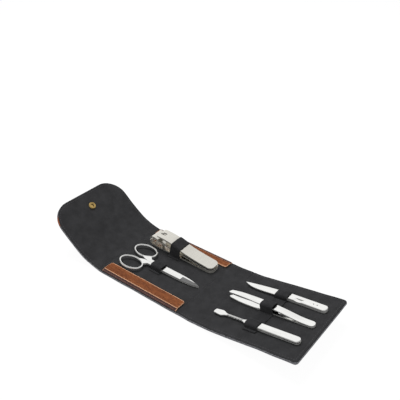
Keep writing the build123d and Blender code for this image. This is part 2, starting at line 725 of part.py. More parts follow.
def bevel_section(level):
    """What the ground face takes off a blade's top, seen from the blade's rear."""
    near = -BLADE_WIDTH / 2
    with BuildSketch(end_view(SCISSORS.offset(level), BEVEL_START)) as section:
        with BuildLine():
            Polyline((BEVEL_LINE, 0), (near, -BEVEL_DEPTH), (near, HALF_THICK), close=True)
        make_face()
    return section.sketch


def make_scissors_half(name, side, level, room_start, room_end, screw_play, bevelled):
    """Ring and shank on one side and the blade at its level, with room for the other half's hub."""
    with BuildPart() as half:
        extrude(shank_plan(SCISSORS.offset(SHANK_RISE), side), amount=SHANK_THICK)
        room = disc(SCISSORS.offset(room_start), 0, HUB_RADIUS + HUB_PLAY)
        extrude(room, amount=room_end - room_start, mode=Mode.SUBTRACT)
        extrude(blade_plan(SCISSORS.offset(level)), amount=HALF_THICK)
        make_ring(side)
        hole = disc(SCISSORS.offset(level), 0, SCREW_RADIUS + screw_play)
        extrude(hole, amount=HALF_THICK, mode=Mode.SUBTRACT)
        if bevelled:
            extrude(bevel_section(level + HALF_THICK), amount=BLADE_REACH, mode=Mode.SUBTRACT)
    export(half.part, name)


def make_scissors():
    upper = HALF_THICK + HALF_GAP
    top = upper + HALF_THICK
    make_scissors_half("scissors_lower_half", 1, 0.0, HALF_THICK, top, 0.0, bevelled=False)
    make_scissors_half("scissors_upper_half", -1, upper, 0.0, upper, SCREW_PLAY, bevelled=True)
    with BuildPart() as screw:
        extrude(disc(SCISSORS, 0, SCREW_RADIUS), amount=top + SCREW_PLAY)
        extrude(disc(SCISSORS.offset(top + SCREW_PLAY), 0, SCREW_HEAD), amount=SCREW_HEAD_THICK)
        fillet(screw.edges().group_by(Axis(SCISSORS.origin, SCISSORS.z_dir))[-1], SCREW_HEAD_THICK / 2)
        slot_at = SCISSORS.offset(top + SCREW_PLAY + SCREW_HEAD_THICK)
        with BuildSketch(slot_at):
            Rectangle(SCREW_SLOT, 3 * SCREW_HEAD)
        extrude(amount=-SCREW_SLOT, mode=Mode.SUBTRACT)
    export(screw.part, "scissors_screw")


# ---------------------------------------------------------------- cuticle knife
def knife_blade_plan(frame):
    """The blade in plan: a back that leans to the point, and one long curved edge."""
    half = KNIFE_WIDTH / 2
    end = KNIFE_HANDLE + KNIFE_TANG
    tip = (KNIFE_TIP, KNIFE_POINT_Y)
    with BuildSketch(frame) as plan:
        with BuildLine():
            ThreePointArc(tip, KNIFE_BACK, (KNIFE_HANDLE, half))
            Polyline((KNIFE_HANDLE, half), (end, half), (end, -half), (KNIFE_HANDLE, -half))
            Spline((KNIFE_HANDLE, -half), *KNIFE_BELLY, tip)
        make_face()
    return plan.sketch


def make_knife():
    tang_end = KNIFE_HANDLE + KNIFE_TANG
    blade_frame = KNIFE.offset(KNIFE_BLADE_H)
    handle_top = KNIFE_HANDLE_H + KNIFE_HANDLE_THICK
    with BuildPart() as blade:
        extrude(knife_blade_plan(blade_frame), amount=KNIFE_BLADE_THICK)
        for x in KNIFE_RIVETS:
            extrude(disc(KNIFE, x, KNIFE_RIVET_RADIUS), amount=EVER, mode=Mode.SUBTRACT)
    export(blade.part, "knife_blade")
    with BuildPart() as handle:
        under = KNIFE.offset(KNIFE_HANDLE_H)
        extrude(box_plan(under, KNIFE_HANDLE, KNIFE_END, KNIFE_HANDLE_WIDTH, KNIFE_CORNER), amount=KNIFE_HANDLE_THICK)
        fillet(handle.edges().group_by(Axis(KNIFE.origin, KNIFE.z_dir))[-1], KNIFE_EDGE)
        tang = box_plan(blade_frame, KNIFE_HANDLE - KNIFE_EDGE, tang_end, KNIFE_WIDTH)
        extrude(tang, amount=KNIFE_BLADE_THICK, mode=Mode.SUBTRACT)
        with BuildSketch(side_view(KNIFE)):
            with BuildLine():
                start, end = KNIFE_STEP
                Line((start, handle_top), (end, handle_top))
                ThreePointArc(
                    (end, handle_top), ((start + end) / 2, handle_top - KNIFE_STEP_DEPTH), (start, handle_top)
                )
            make_face()
        extrude(amount=KNIFE_HANDLE_WIDTH / 2, mode=Mode.SUBTRACT)
        for x in KNIFE_RIVETS:
            extrude(disc(KNIFE, x, KNIFE_RIVET_RADIUS), amount=EVER, mode=Mode.SUBTRACT)
    export(handle.part, "knife_handle")
    with BuildPart() as rivets:
        for x in KNIFE_RIVETS:
            rivet = disc(KNIFE.offset(KNIFE_HANDLE_H), x, KNIFE_RIVET_RADIUS)
            extrude(rivet, amount=KNIFE_HANDLE_THICK + KNIFE_RIVET_PROUD)
    export(rivets.part, "knife_rivets")


# ---------------------------------------------------------------- tweezers
def tweezers_plan(frame):
    """Both arms in plan: parallel, then tapering to a slanted tip."""
    half = TWEEZERS_WIDTH / 2
    near = [(x, -y) for x, y in TWEEZERS_TAPER]
    rear = [(TWEEZERS_END, -half), (TWEEZERS_END, half)]
    with BuildSketch(frame) as plan:
        with BuildLine():
            Polyline(TWEEZERS_TIP, *reversed(near), *rear, *TWEEZERS_TAPER, close=True)
        make_face()
        fillet(plan.vertices().group_by(Axis.X)[-1], TWEEZERS_CORNER)
    return plan.sketch


def make_tweezers():
    for name, line in (("tweezers_lower_arm", TWEEZERS_LOWER), ("tweezers_upper_arm", TWEEZERS_UPPER)):
        with BuildPart() as arm:
            extrude(plate_side(TWEEZERS, line, TWEEZERS_THICK), amount=TWEEZERS_WIDTH / 2, both=True)
            extrude(tweezers_plan(TWEEZERS), amount=EVER, mode=Mode.INTERSECT)
        export(arm.part, name)


# ---------------------------------------------------------------- cuticle pusher
def pusher_plan(frame):
    """The spatula in plan: slightly curved tip, wide shoulder, narrow neck."""
    tip, wide, neck = PUSHER_TIP_WIDTH / 2, PUSHER_WIDE_WIDTH / 2, PUSHER_TWIST_SIDE / 2
    with BuildSketch(frame) as plan:
        with BuildLine():
            ThreePointArc((PUSHER_TIP + PUSHER_BULGE, tip), (PUSHER_TIP, 0), (PUSHER_TIP + PUSHER_BULGE, -tip))
            for side in (-1, 1):
                start, end = (PUSHER_TIP + PUSHER_BULGE, side * tip), (PUSHER_NECK, side * neck)
                Spline(start, (PUSHER_WIDE, side * wide), end, tangents=((1, 0.06 * side), (1, 0)))
            Line((PUSHER_NECK, -neck), (PUSHER_NECK, neck))
        make_face()
    return plan.sketch


def flare_plan(frame):
    """The flat that widens from the twisted shaft into the handle, with its tang."""
    neck, wide = PUSHER_TWIST_SIDE / 2, PUSHER_WIDTH / 2
    tang = wide - PUSHER_SEAM_DEPTH
    front, rear = PUSHER_HANDLE, PUSHER_HANDLE + PUSHER_TANG
    near = [(PUSHER_FLARE, -wide), (front, -wide), (front, -tang), (rear, -tang)]
    far = [(x, -y) for x, y in reversed(near)]
    with BuildSketch(frame) as plan:
        with BuildLine():
            Spline((PUSHER_TWIST_END, -neck), (PUSHER_FLARE, -wide), tangents=((1, 0), (1, -0.15)))
            Polyline(*near, *far)
            Spline((PUSHER_FLARE, wide), (PUSHER_TWIST_END, neck), tangents=((-1, -0.15), (-1, 0)))
            Line((PUSHER_TWIST_END, neck), (PUSHER_TWIST_END, -neck))
        make_face()
    return plan.sketch


def make_pusher():
    flat = PUSHER.offset(PUSHER_H)
    middle = PUSHER_H + PUSHER_THICK / 2
    with BuildPart() as shaft:
        extrude(pusher_plan(flat), amount=PUSHER_THICK)
        extrude(flare_plan(flat), amount=PUSHER_THICK)
        start = moved(PUSHER, PUSHER_NECK - PUSHER_TWIST_SIDE / 4, 0, middle).origin
        with BuildSketch(Plane(origin=start, x_dir=PUSHER.y_dir, z_dir=PUSHER.x_dir), mode=Mode.PRIVATE) as bar:
            Rectangle(PUSHER_TWIST_SIDE, PUSHER_TWIST_THIN)
        run = PUSHER_TWIST_END - PUSHER_NECK + PUSHER_TWIST_SIDE / 2
        twisted = Solid.extrude_linear_with_rotation(bar.sketch.face(), start, PUSHER.x_dir * run, PUSHER_TWIST_TURN)
        add(twisted.mirror(Plane(origin=start, x_dir=PUSHER.x_dir, z_dir=PUSHER.y_dir)))
    export(shaft.part, "pusher_shaft")
    shell = PUSHER_THICK / 2 + PUSHER_HANDLE_HALF
    lows = (("pusher_handle_bottom", middle - shell), ("pusher_handle_top", middle + PUSHER_SEAM / 2))
    for name, low in lows:
        with BuildPart() as half:
            outline = box_plan(PUSHER.offset(low), PUSHER_HANDLE, PUSHER_END, PUSHER_WIDTH, PUSHER_CORNER)
            extrude(outline, amount=shell - PUSHER_SEAM / 2)
            room = PUSHER_WIDTH - 2 * PUSHER_SEAM_DEPTH
            tang = box_plan(flat, PUSHER_HANDLE - PUSHER_EDGE, PUSHER_HANDLE + PUSHER_TANG, room)
            extrude(tang, amount=PUSHER_THICK, mode=Mode.SUBTRACT)
            outer = -1 if low > PUSHER_H else 0
            fillet(half.edges().group_by(Axis(PUSHER.origin, PUSHER.z_dir))[outer], PUSHER_EDGE)
        export(half.part, name)


if __name__ == "__main__":
    make_back_panel()
    make_spines()
    make_front_panel()
    make_flap()
    make_press_button()
    make_gusset("gusset_near", -1, NEAR_GUSSET_WIDTH)
    make_gusset("gusset_far", 1, FAR_GUSSET_WIDTH)
    make_straps()
    make_clipper_arms()
    make_clipper_rivet()
    make_clipper_pin()
    make_clipper_lever()
    make_scissors()
    make_knife()
    make_tweezers()
    make_pusher()
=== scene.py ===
import json
import math

import bmesh
import bpy
import numpy as np
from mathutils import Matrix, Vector


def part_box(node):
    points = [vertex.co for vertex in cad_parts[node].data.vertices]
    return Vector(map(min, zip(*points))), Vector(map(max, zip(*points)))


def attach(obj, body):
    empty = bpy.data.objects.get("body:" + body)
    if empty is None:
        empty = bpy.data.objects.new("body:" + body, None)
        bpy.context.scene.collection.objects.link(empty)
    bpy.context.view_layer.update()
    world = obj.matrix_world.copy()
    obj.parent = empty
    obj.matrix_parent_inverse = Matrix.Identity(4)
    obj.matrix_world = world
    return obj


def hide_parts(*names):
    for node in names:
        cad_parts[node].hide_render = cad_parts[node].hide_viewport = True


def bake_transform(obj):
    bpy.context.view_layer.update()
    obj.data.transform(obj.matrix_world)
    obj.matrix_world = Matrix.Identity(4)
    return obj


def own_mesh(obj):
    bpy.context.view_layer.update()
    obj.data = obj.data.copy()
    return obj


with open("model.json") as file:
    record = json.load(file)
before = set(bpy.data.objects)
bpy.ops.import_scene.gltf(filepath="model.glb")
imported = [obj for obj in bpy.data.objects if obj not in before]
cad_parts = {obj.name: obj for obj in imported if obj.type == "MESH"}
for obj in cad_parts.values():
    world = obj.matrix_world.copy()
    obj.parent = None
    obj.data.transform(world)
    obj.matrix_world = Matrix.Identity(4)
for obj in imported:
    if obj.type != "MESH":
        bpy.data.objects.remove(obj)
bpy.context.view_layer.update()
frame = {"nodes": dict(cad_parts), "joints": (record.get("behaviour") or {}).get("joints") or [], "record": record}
nodes = frame["nodes"]
joints = {joint["name"]: joint for joint in frame["joints"]}
MM = 0.001


def box_mm(node):
    """Lowest and highest corner of a CAD node, in millimetres."""
    low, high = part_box(node)
    return low / MM, high / MM


def joint_place(name):
    return Vector(joints[name]["pos_m"]) / MM


# ---------------------------------------------------------------- sizes, in millimetres
LINING_LOW, LINING_HIGH = box_mm("back_lining")
HALF_WIDTH = box_mm("back_leather")[1].y
SHELL = LINING_HIGH.z  # thickness of every panel
LINING = LINING_HIGH.z - LINING_LOW.z
FRONT_RISE = math.radians(10.45)
FLAP_RISE = math.radians(39.1)
AXIS_DEPTH = 0.9  # of the fold lines below the lining
FLAP_CORNER = 22.0  # radius of the flap's round corners
FRONT_CORNER = 3.0
FRONT_BEND_SPREAD = 29.0  # length of leather over which the front panel curls up
FLAP_BEND_SPREAD = 43.0
FRONT_FOLD = joint_place("lower_front_fold")
FLAP_FOLD = joint_place("flap_fold")
FRONT_LENGTH = 98.3  # beyond its fold line
FLAP_LENGTH = 50.1
# Places along the leather, from the middle of the back panel
SPINE_START = 49.5  # both spines' folds with the back panel
FRONT_START = 74.5  # the front panel's fold
FLAP_START = 80.6
FRONT_SPLIT = 62.0  # where one piece of the leather ends and the next begins, between the folds
FLAP_SPLIT = 65.0

# ---------------------------------------------------------------- camera
CAMERA_PLACE = (299.73, -330.89, 359.26)
CAMERA_AZIMUTH = 37.95  # degrees
CAMERA_ELEVATION = 32.05
CAMERA_LENS = 51.24
SENSOR = 36.0


def make_camera():
    data = bpy.data.cameras.new("camera")
    data.lens, data.sensor_width = CAMERA_LENS, SENSOR
    data.clip_start, data.clip_end = 0.05, 5.0
    camera = bpy.data.objects.new("camera", data)
    bpy.context.scene.collection.objects.link(camera)
    camera.location = [v * MM for v in CAMERA_PLACE]
    camera.rotation_euler = (math.radians(90 - CAMERA_ELEVATION), 0, math.radians(CAMERA_AZIMUTH))
    bpy.context.scene.camera = camera


# ---------------------------------------------------------------- materials
class Shader:
    """A material with a Principled shader and short calls for the textures that feed it."""

    def __init__(self, name, colour, roughness, **inputs):
        self.material = bpy.data.materials.new(name)
        self.material.use_nodes = True
        self.tree = self.material.node_tree
        self.main = self.tree.nodes["Principled BSDF"]
        self.main.inputs["Base Color"].default_value = (*colour, 1)
        self.main.inputs["Roughness"].default_value = roughness
        for socket, value in inputs.items():
            self.main.inputs[socket.replace("_", " ")].default_value = value
        self.where = None

    def add(self, kind, **values):
        node = self.tree.nodes.new(kind)
        for name, value in values.items():
            if hasattr(node, name):
                setattr(node, name, value)
            else:
                node.inputs[name.replace("_", " ")].default_value = value
        return node

    def link(self, source, target):
        self.tree.links.new(source, target)

    def place(self, use_uv=False, stretch=(1, 1, 1)):
        """Texture coordinates in millimetres, from the UV map or from the object."""
        start = self.add("ShaderNodeTexCoord").outputs["UV" if use_uv else "Object"]
        mapping = self.add("ShaderNodeMapping")
        mapping.inputs["Scale"].default_value = [v / MM for v in stretch]
        self.link(start, mapping.inputs["Vector"])
        self.where = mapping.outputs["Vector"]

    def noise(self, per_mm, detail=3.0, roughness=0.6):
        node = self.add("ShaderNodeTexNoise", Scale=per_mm, Detail=detail, Roughness=roughness)
        self.link(self.where, node.inputs["Vector"])
        return node.outputs["Fac"]

    def cells(self, per_mm, feature="DISTANCE_TO_EDGE", randomness=1.0):
        node = self.add("ShaderNodeTexVoronoi", feature=feature, Scale=per_mm, Randomness=randomness)
        self.link(self.where, node.inputs["Vector"])
        return node.outputs["Distance"]

    def ramp(self, value, low, high, start=0.0, end=1.0):
        """Maps a texture onto low..high between two of its values."""
        node = self.add("ShaderNodeMapRange", From_Min=start, From_Max=end, To_Min=low, To_Max=high)
        self.link(value, node.inputs["Value"])
        return node.outputs["Result"]

    def mix(self, factor, colour_a, colour_b):
        node = self.add("ShaderNodeMix", data_type="RGBA")
        self.link(factor, node.inputs[0])
        for socket, colour in ((node.inputs[6], colour_a), (node.inputs[7], colour_b)):
            if isinstance(colour, tuple):
                socket.default_value = (*colour, 1)
            else:
                self.link(colour, socket)
        return node.outputs[2]

    def bump(self, height, depth_mm, strength=1.0, after=None):
        node = self.add("ShaderNodeBump", Strength=strength, Distance=depth_mm * MM)
        self.link(height, node.inputs["Height"])
        if after:
            self.link(after, node.inputs["Normal"])
        return node.outputs["Normal"]

    def finish(self, colour=None, roughness=None, normal=None):
        for name, source in (("Base Color", colour), ("Roughness", roughness), ("Normal", normal)):
            if source:
                self.link(source, self.main.inputs[name])
        return self.material


def make_suede(name, dark, pale):
    """Split leather: short nap that lies this way and that, so it is patchy in tone."""
    shader = Shader(name, dark, 0.95, Sheen_Weight=0.05, Sheen_Roughness=0.6, Specular_IOR_Level=0.12)
    shader.place(use_uv=True)
    patches = shader.ramp(shader.noise(0.09, 2), 0, 1, 0.35, 0.65)
    nap = shader.ramp(shader.noise(2.6, 4, 0.7), 0, 1, 0.3, 0.7)
    middle = tuple((a + b) / 2 for a, b in zip(dark, pale))
    colour = shader.mix(nap, shader.mix(patches, dark, middle), shader.mix(patches, middle, pale))
    return shader.finish(colour, normal=shader.bump(nap, 0.12))


def make_embossed(name, dark, pale):
    """Outer leather with a small pebble emboss: worn tops are paler and glossier than the grooves."""
    shader = Shader(name, dark, 0.5, Specular_IOR_Level=0.5)
    shader.place(use_uv=True)
    pebble = shader.ramp(shader.cells(0.75, randomness=0.75), 0, 1, 0.0, 0.16)
    grain = shader.noise(3.0, 3)
    worn = shader.ramp(shader.noise(0.35, 4), 0, 1, 0.45, 0.7)
    top = shader.mix(worn, dark, pale)
    colour = shader.mix(pebble, tuple(v * 0.7 for v in dark), top)
    normal = shader.bump(grain, 0.03, after=shader.bump(pebble, 0.1))
    return shader.finish(colour, shader.ramp(pebble, 0.62, 0.4), normal)


def make_brown_leather(name, dark, pale):
    shader = Shader(name, dark, 0.55, Specular_IOR_Level=0.25)
    shader.place(use_uv=True, stretch=(0.3, 1, 1))
    pores = shader.ramp(shader.cells(1.6, "F1"), 0, 1, 0.0, 0.45)
    tone = shader.ramp(shader.noise(0.12, 4), 0, 1, 0.35, 0.68)
    streak = shader.ramp(shader.noise(0.9, 3), 0, 1, 0.4, 0.7)
    middle = tuple((a + b) / 2 for a, b in zip(dark, pale))
    colour = shader.mix(streak, shader.mix(tone, dark, middle), shader.mix(tone, middle, pale))
    return shader.finish(colour, shader.ramp(streak, 0.62, 0.5), shader.bump(pores, 0.06))


UNDYED = (0.3, 0.1, 0.045)  # leather under its dye
BARE_SPOT = (2.5, 6.5)  # radius in millimetres within which no dye is left, and beyond which all of it is


def make_raw_edge(name, dark, pale, per_mm=2.2, bare_at=None):
    """The cut edge of leather: loose pale fibres; at bare_at, in millimetres, the dye is worn off."""
    shader = Shader(name, dark, 0.9, Specular_IOR_Level=0.2)
    shader.place(stretch=(1, 1, 3))
    fibre = shader.noise(per_mm, 5, 0.75)
    colour = shader.mix(shader.ramp(fibre, 0, 1, 0.38, 0.66), dark, pale)
    if bare_at:
        away = shader.add("ShaderNodeVectorMath", operation="DISTANCE")
        shader.link(shader.add("ShaderNodeTexCoord").outputs["Object"], away.inputs[0])
        away.inputs[1].default_value = [v * MM for v in bare_at]
        bare = shader.ramp(away.outputs["Value"], 1, 0, *(radius * MM for radius in BARE_SPOT))
        colour = shader.mix(bare, colour, UNDYED)
    return shader.finish(colour, normal=shader.bump(fibre, 0.15))


SCRATCH_DEPTH = 0.0005
SIDE_SHADE_TONE = 0.5  # painted shade: upright metal faces are painted this share of their colour, against upward ones
SATIN_METAL = 0.45
SATIN_ROUGHNESS = 0.45
SHADED_BEVEL_LEAN = (-0.08, -0.14)  # Y of a normal, from a plain face to a bevel's, which gets painted shade
SHADED_BEVEL_UP = (0.9, 0.95)


def make_metal(name, colour, roughness, stretch, bevel_shade=None, upright=(0.35, 0.6)):
    """Polished metal with fine polishing lines along the piece and a few faint smudges.

    Faces that stand upright are painted darker, which is painted shade, and are made rougher and less metallic:
    wholly so where the height of their normal is below the first value of upright, and not at all above the
    second. The colour passed after stretch is painted shade: the darker colour of an upward face that leans
    towards -Y, such as a blade's sharpened bevel.
    """
    shader = Shader(name, colour, roughness, Metallic=1.0)
    shader.place(stretch=stretch)
    lines = shader.noise(1.0, 4, 0.7)
    smudge = shader.noise(0.15, 3)
    tone = shader.mix(shader.ramp(smudge, 0, 1, 0.35, 0.7), tuple(v * 0.9 for v in colour), colour)
    rough = shader.ramp(smudge, roughness * 0.7, roughness * 1.6, 0.3, 0.7)
    parts = shader.add("ShaderNodeSeparateXYZ")
    shader.link(shader.add("ShaderNodeTexCoord").outputs["Normal"], parts.inputs[0])
    upward = shader.add("ShaderNodeMath", operation="ABSOLUTE")
    shader.link(parts.outputs["Z"], upward.inputs[0])
    # Painted shade: upright faces are painted darker, and are also made rougher and less metallic
    side_shade_and_satin = shader.ramp(upward.outputs[0], 1, 0, *upright)
    tone = shader.mix(side_shade_and_satin, tone, tuple(v * SIDE_SHADE_TONE for v in colour))
    shader.link(shader.ramp(side_shade_and_satin, 1, SATIN_METAL), shader.main.inputs["Metallic"])
    wide = shader.add("ShaderNodeMath", operation="MAXIMUM")
    shader.link(rough, wide.inputs[0])
    shader.link(shader.ramp(side_shade_and_satin, 0, SATIN_ROUGHNESS), wide.inputs[1])
    rough = wide.outputs[0]
    # Painted shade: upward faces that lean towards -Y, such as a blade's bevel, are painted the darker colour
    if bevel_shade:
        both = shader.add("ShaderNodeMath", operation="MULTIPLY")
        shader.link(shader.ramp(parts.outputs["Y"], 0, 1, *SHADED_BEVEL_LEAN), both.inputs[0])
        shader.link(shader.ramp(parts.outputs["Z"], 0, 1, *SHADED_BEVEL_UP), both.inputs[1])
        tone = shader.mix(both.outputs[0], tone, bevel_shade)
    return shader.finish(tone, rough, shader.bump(lines, SCRATCH_DEPTH))


def make_thread(name, colour):
    shader = Shader(name, colour, 0.75, Sheen_Weight=0.2)
    shader.place()
    twist = shader.noise(3.0, 2)
    tone = shader.mix(twist, tuple(v * 0.6 for v in colour), tuple(min(1, v * 1.5) for v in colour))
    return shader.finish(tone, normal=shader.bump(twist, 0.1))


def make_board(name, colour):
    shader = Shader(name, colour, 0.9)
    shader.place()
    return shader.finish(shader.mix(shader.noise(1.2, 4), tuple(v * 0.8 for v in colour), colour))


ALONG_X, ALONG_Y, EVEN = (0.35, 3.0, 3.0), (3.0, 0.35, 3.0), (1.0, 1.0, 1.0)  # which way a metal is polished
BRIGHT = (0.94, 0.94, 0.92)
WORN_SPOT = (-106.5, -43.0, 35.0)  # on the flap's near corner

LINING_SUEDE = make_suede("lining_suede", (0.018, 0.018, 0.019), (0.034, 0.034, 0.036))
STRAP_SUEDE = make_suede("strap_suede", (0.014, 0.014, 0.015), (0.027, 0.027, 0.029))
OUTER_LEATHER = make_embossed("outer_leather", (0.02, 0.02, 0.023), (0.045, 0.045, 0.05))
OUTER_EDGE = make_raw_edge("outer_raw_edge", (0.014, 0.014, 0.016), (0.3, 0.3, 0.32), 1.1, WORN_SPOT)
LINING_EDGE = make_raw_edge("lining_raw_edge", (0.012, 0.012, 0.013), (0.05, 0.05, 0.05))
BROWN_LEATHER = make_brown_leather("brown_leather", (0.085, 0.022, 0.006), (0.27, 0.085, 0.024))
# Painted shade: the gussets' flanges are painted a darker brown than their walls, for the shade they lie in
SHADED_FLANGE_LEATHER = make_brown_leather("shaded_flange_leather", (0.035, 0.016, 0.016), (0.08, 0.04, 0.036))
BROWN_EDGE = make_raw_edge("brown_raw_edge", (0.4, 0.2, 0.11), (0.62, 0.38, 0.25))
# Painted shade: every metal below is painted darker on its upright faces
STEEL = make_metal("polished_steel", BRIGHT, 0.1, ALONG_X)
# (0.2, 0.2, 0.2) is painted shade on the scissors' upward bevels
SCISSORS_STEEL = make_metal("scissors_steel", BRIGHT, 0.14, ALONG_X, (0.2, 0.2, 0.2), upright=(0.05, 0.2))
DARK_STEEL = make_metal("rivet_steel", (0.3, 0.29, 0.28), 0.3, EVEN)
CLIPPER_STEEL = make_metal("clipper_steel", (0.76, 0.74, 0.68), 0.2, ALONG_Y)
BRASS = make_metal("polished_brass", (0.72, 0.5, 0.18), 0.2, EVEN)
THREAD = make_thread("black_thread", (0.04, 0.04, 0.043))
BROWN_THREAD = make_thread("brown_thread", (0.16, 0.08, 0.05))
BOARD = make_board("fibreboard", (0.35, 0.33, 0.3))


# ---------------------------------------------------------------- the case's side profile
class Profile:
    """The lining's surface in side view from the middle of the back panel one way, straight, bent, straight.

    way is +1 towards the front panel and -1 towards the flap. corner is where the two straight parts would
    meet, and reach is from there to the free end. creases are the places along it that fold.
    """

    def __init__(self, way, corner, rise, spread, reach, free_corner, creases):
        self.way, self.rise, self.free_corner, self.creases = way, rise, free_corner, creases
        self.radius = spread / rise
        tangent = self.radius * math.tan(rise / 2)
        self.start = corner - tangent
        self.end = self.start + spread
        self.total = self.end + reach - tangent

    def at(self, s, w=0.0, y=0.0):
        """The point at arc length s, height w above the lining and y across."""
        angle = min(max(s - self.start, 0.0), self.end - self.start) / self.radius
        beyond = max(s - self.end, 0.0)
        x = min(s, self.start) + self.radius * math.sin(angle) + beyond * math.cos(angle)
        z = self.radius * (1 - math.cos(angle)) + beyond * math.sin(angle)
        return Vector((self.way * (x - w * math.sin(angle)), y, SHELL + z + w * math.cos(angle)))

    def half_width(self, s):
        """Half the panel's width at s, with its free corners rounded."""
        radius = self.free_corner
        into = s - (self.total - radius)
        if into <= 0:
            return HALF_WIDTH
        return HALF_WIDTH - radius + math.sqrt(max(radius**2 - min(into, radius) ** 2, 0.0))


front_corner = FRONT_FOLD.x - AXIS_DEPTH * math.tan(FRONT_RISE / 2)
front_origin = FRONT_FOLD.x - AXIS_DEPTH * math.sin(FRONT_RISE)
FRONT_SIDE = Profile(
    1, front_corner, FRONT_RISE, FRONT_BEND_SPREAD,
    FRONT_LENGTH + (front_origin - front_corner) / math.cos(FRONT_RISE), FRONT_CORNER,
    (SPINE_START, FRONT_START),
)
flap_origin = -FLAP_FOLD.x - AXIS_DEPTH * math.sin(FLAP_RISE)
flap_height = FLAP_FOLD.z + AXIS_DEPTH * math.cos(FLAP_RISE) - SHELL
flap_corner = flap_origin - flap_height / math.tan(FLAP_RISE)
FLAP_SIDE = Profile(
    -1, flap_corner, FLAP_RISE, FLAP_BEND_SPREAD,
    FLAP_LENGTH + (flap_origin - flap_corner) / math.cos(FLAP_RISE), FLAP_CORNER, (SPINE_START,),
)

# Each stretch of the case lies across the fold between two bodies: its name, profile, start
# and end, bodies and fold.
FOLD_REACH = 6.0  # leather that bends on each side of a fold line
STRETCHES = (
    ("back_to_spine", FRONT_SIDE, 0.0, FRONT_SPLIT, "back", "lower_spine", SPINE_START),
    ("spine_to_front", FRONT_SIDE, FRONT_SPLIT, FRONT_SIDE.total, "lower_spine", "front_panel", FRONT_START),
    ("back_to_upper_spine", FLAP_SIDE, 0.0, FLAP_SPLIT, "back", "upper_spine", SPINE_START),
    ("upper_spine_to_flap", FLAP_SIDE, FLAP_SPLIT, FLAP_SIDE.total, "upper_spine", "flap", FLAP_START),
)


def bend_over_fold(piece, side, body_a, body_b, fold_s):
    start, end = side.at(fold_s - FOLD_REACH), side.at(fold_s + FOLD_REACH)
    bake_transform(piece)


def back_place(x, y, h):
    """A point on the back panel, h above its lining."""
    return Vector((x, y, SHELL + h))


def front_place(u, y, h):
    """A point on the front panel, u from its fold line and h above its lining."""
    across = Vector((math.cos(FRONT_RISE), 0, math.sin(FRONT_RISE)))
    up = Vector((-math.sin(FRONT_RISE), 0, math.cos(FRONT_RISE)))
    return FRONT_FOLD + up * (AXIS_DEPTH + h) + across * u + Vector((0, y, 0))


# ---------------------------------------------------------------- mesh helpers
def make_mesh(name, points, faces, materials, uvs=None, which=None, sharp=40):
    """A piece from points in millimetres.

    uvs has a pair in millimetres for each point, and which the number of each face's material.
    """
    mesh = bpy.data.meshes.new(name)
    mesh.from_pydata([tuple(Vector(p) * MM) for p in points], [], faces)
    mesh.update()
    if uvs is not None:
        layer = mesh.uv_layers.new(name="UVMap")
        flat = np.array([uvs[v] for face in mesh.polygons for v in face.vertices], np.float32) * MM
        layer.data.foreach_set("uv", flat.ravel())
    for material in materials:
        mesh.materials.append(material)
    if which is not None:
        mesh.polygons.foreach_set("material_index", which)
    mesh.polygons.foreach_set("use_smooth", [True] * len(mesh.polygons))
    mesh.set_sharp_from_angle(angle=math.radians(sharp))
    piece = bpy.data.objects.new(name, mesh)
    bpy.context.scene.collection.objects.link(piece)
    return piece


def apply_modifiers(piece):
    """Replaces a piece's mesh by the result of its modifiers."""
    evaluated = piece.evaluated_get(bpy.context.evaluated_depsgraph_get())
    mesh = bpy.data.meshes.new_from_object(evaluated)
    piece.modifiers.clear()
    piece.data = mesh


def soften_edges(piece, width_mm, segments=2, weighted=False):
    bevel = piece.modifiers.new("soft_edges", "BEVEL")
    bevel.width, bevel.segments = width_mm * MM, segments
    bevel.limit_method = "WEIGHT" if weighted else "ANGLE"
    bevel.angle_limit = math.radians(40)
    return bevel


def sheet_mesh(name, top, bottom, uvs, materials, plain_rows=(), rim_material=1, top_material=None):
    """A closed sheet from two equal grids of points, rows by columns.

    Its rim gets its own material and edges that soften_edges rounds, but for plain_rows, where it meets
    another piece. top_material gives the material of a top face by its row and column.
    """
    rows, across = len(top), len(top[0])
    count = rows * across
    points = [p for row in top for p in row] + [p for row in bottom for p in row]
    faces, which = [], []
    for r in range(rows - 1):
        for c in range(across - 1):
            a = r * across + c
            face = (a, a + across, a + across + 1, a + 1)
            faces += [face, tuple(v + count for v in reversed(face))]
            which += [top_material(r, c) if top_material else 0, 0]
    rim = [(0, c) for c in range(across)] + [(r, across - 1) for r in range(1, rows)]
    rim += [(rows - 1, c) for c in range(across - 2, -1, -1)] + [(r, 0) for r in range(rows - 2, 0, -1)]
    soft = set()
    for (r1, c1), (r2, c2) in zip(rim, rim[1:] + rim[:1]):
        a, b = r1 * across + c1, r2 * across + c2
        faces.append((a, b, b + count, a + count))
        which.append(rim_material)
        if not (r1 == r2 and r1 in plain_rows):
            soft |= {frozenset((a, b)), frozenset((a + count, b + count))}
    piece = make_mesh(name, points, faces, materials, list(uvs) * 2, which)
    weights = piece.data.attributes.new("bevel_weight_edge", "FLOAT", "EDGE")
    values = [float(frozenset(edge.vertices) in soft) for edge in piece.data.edges]
    weights.data.foreach_set("value", values)
    return piece


def face_outwards(piece):
    """Turns a closed piece's faces so that all of them look outwards."""
    shape = bmesh.new()
    shape.from_mesh(piece.data)
    bmesh.ops.recalc_face_normals(shape, faces=shape.faces)
    shape.to_mesh(piece.data)
    shape.free()


def spaced(low, high, step, fine_end=0.0):
    """Values from low to high about step apart, closer over the last fine_end."""
    count = max(2, round((high - fine_end - low) / step))
    values = list(np.linspace(low, high - fine_end, count + 1))
    if fine_end:
        values += [high - fine_end + fine_end * math.sin(t) for t in np.linspace(0, math.pi / 2, 16)[1:]]
    return values


def smooth_step(value, low, high):
    t = min(max((value - low) / (high - low), 0.0), 1.0)
    return t * t * (3 - 2 * t)


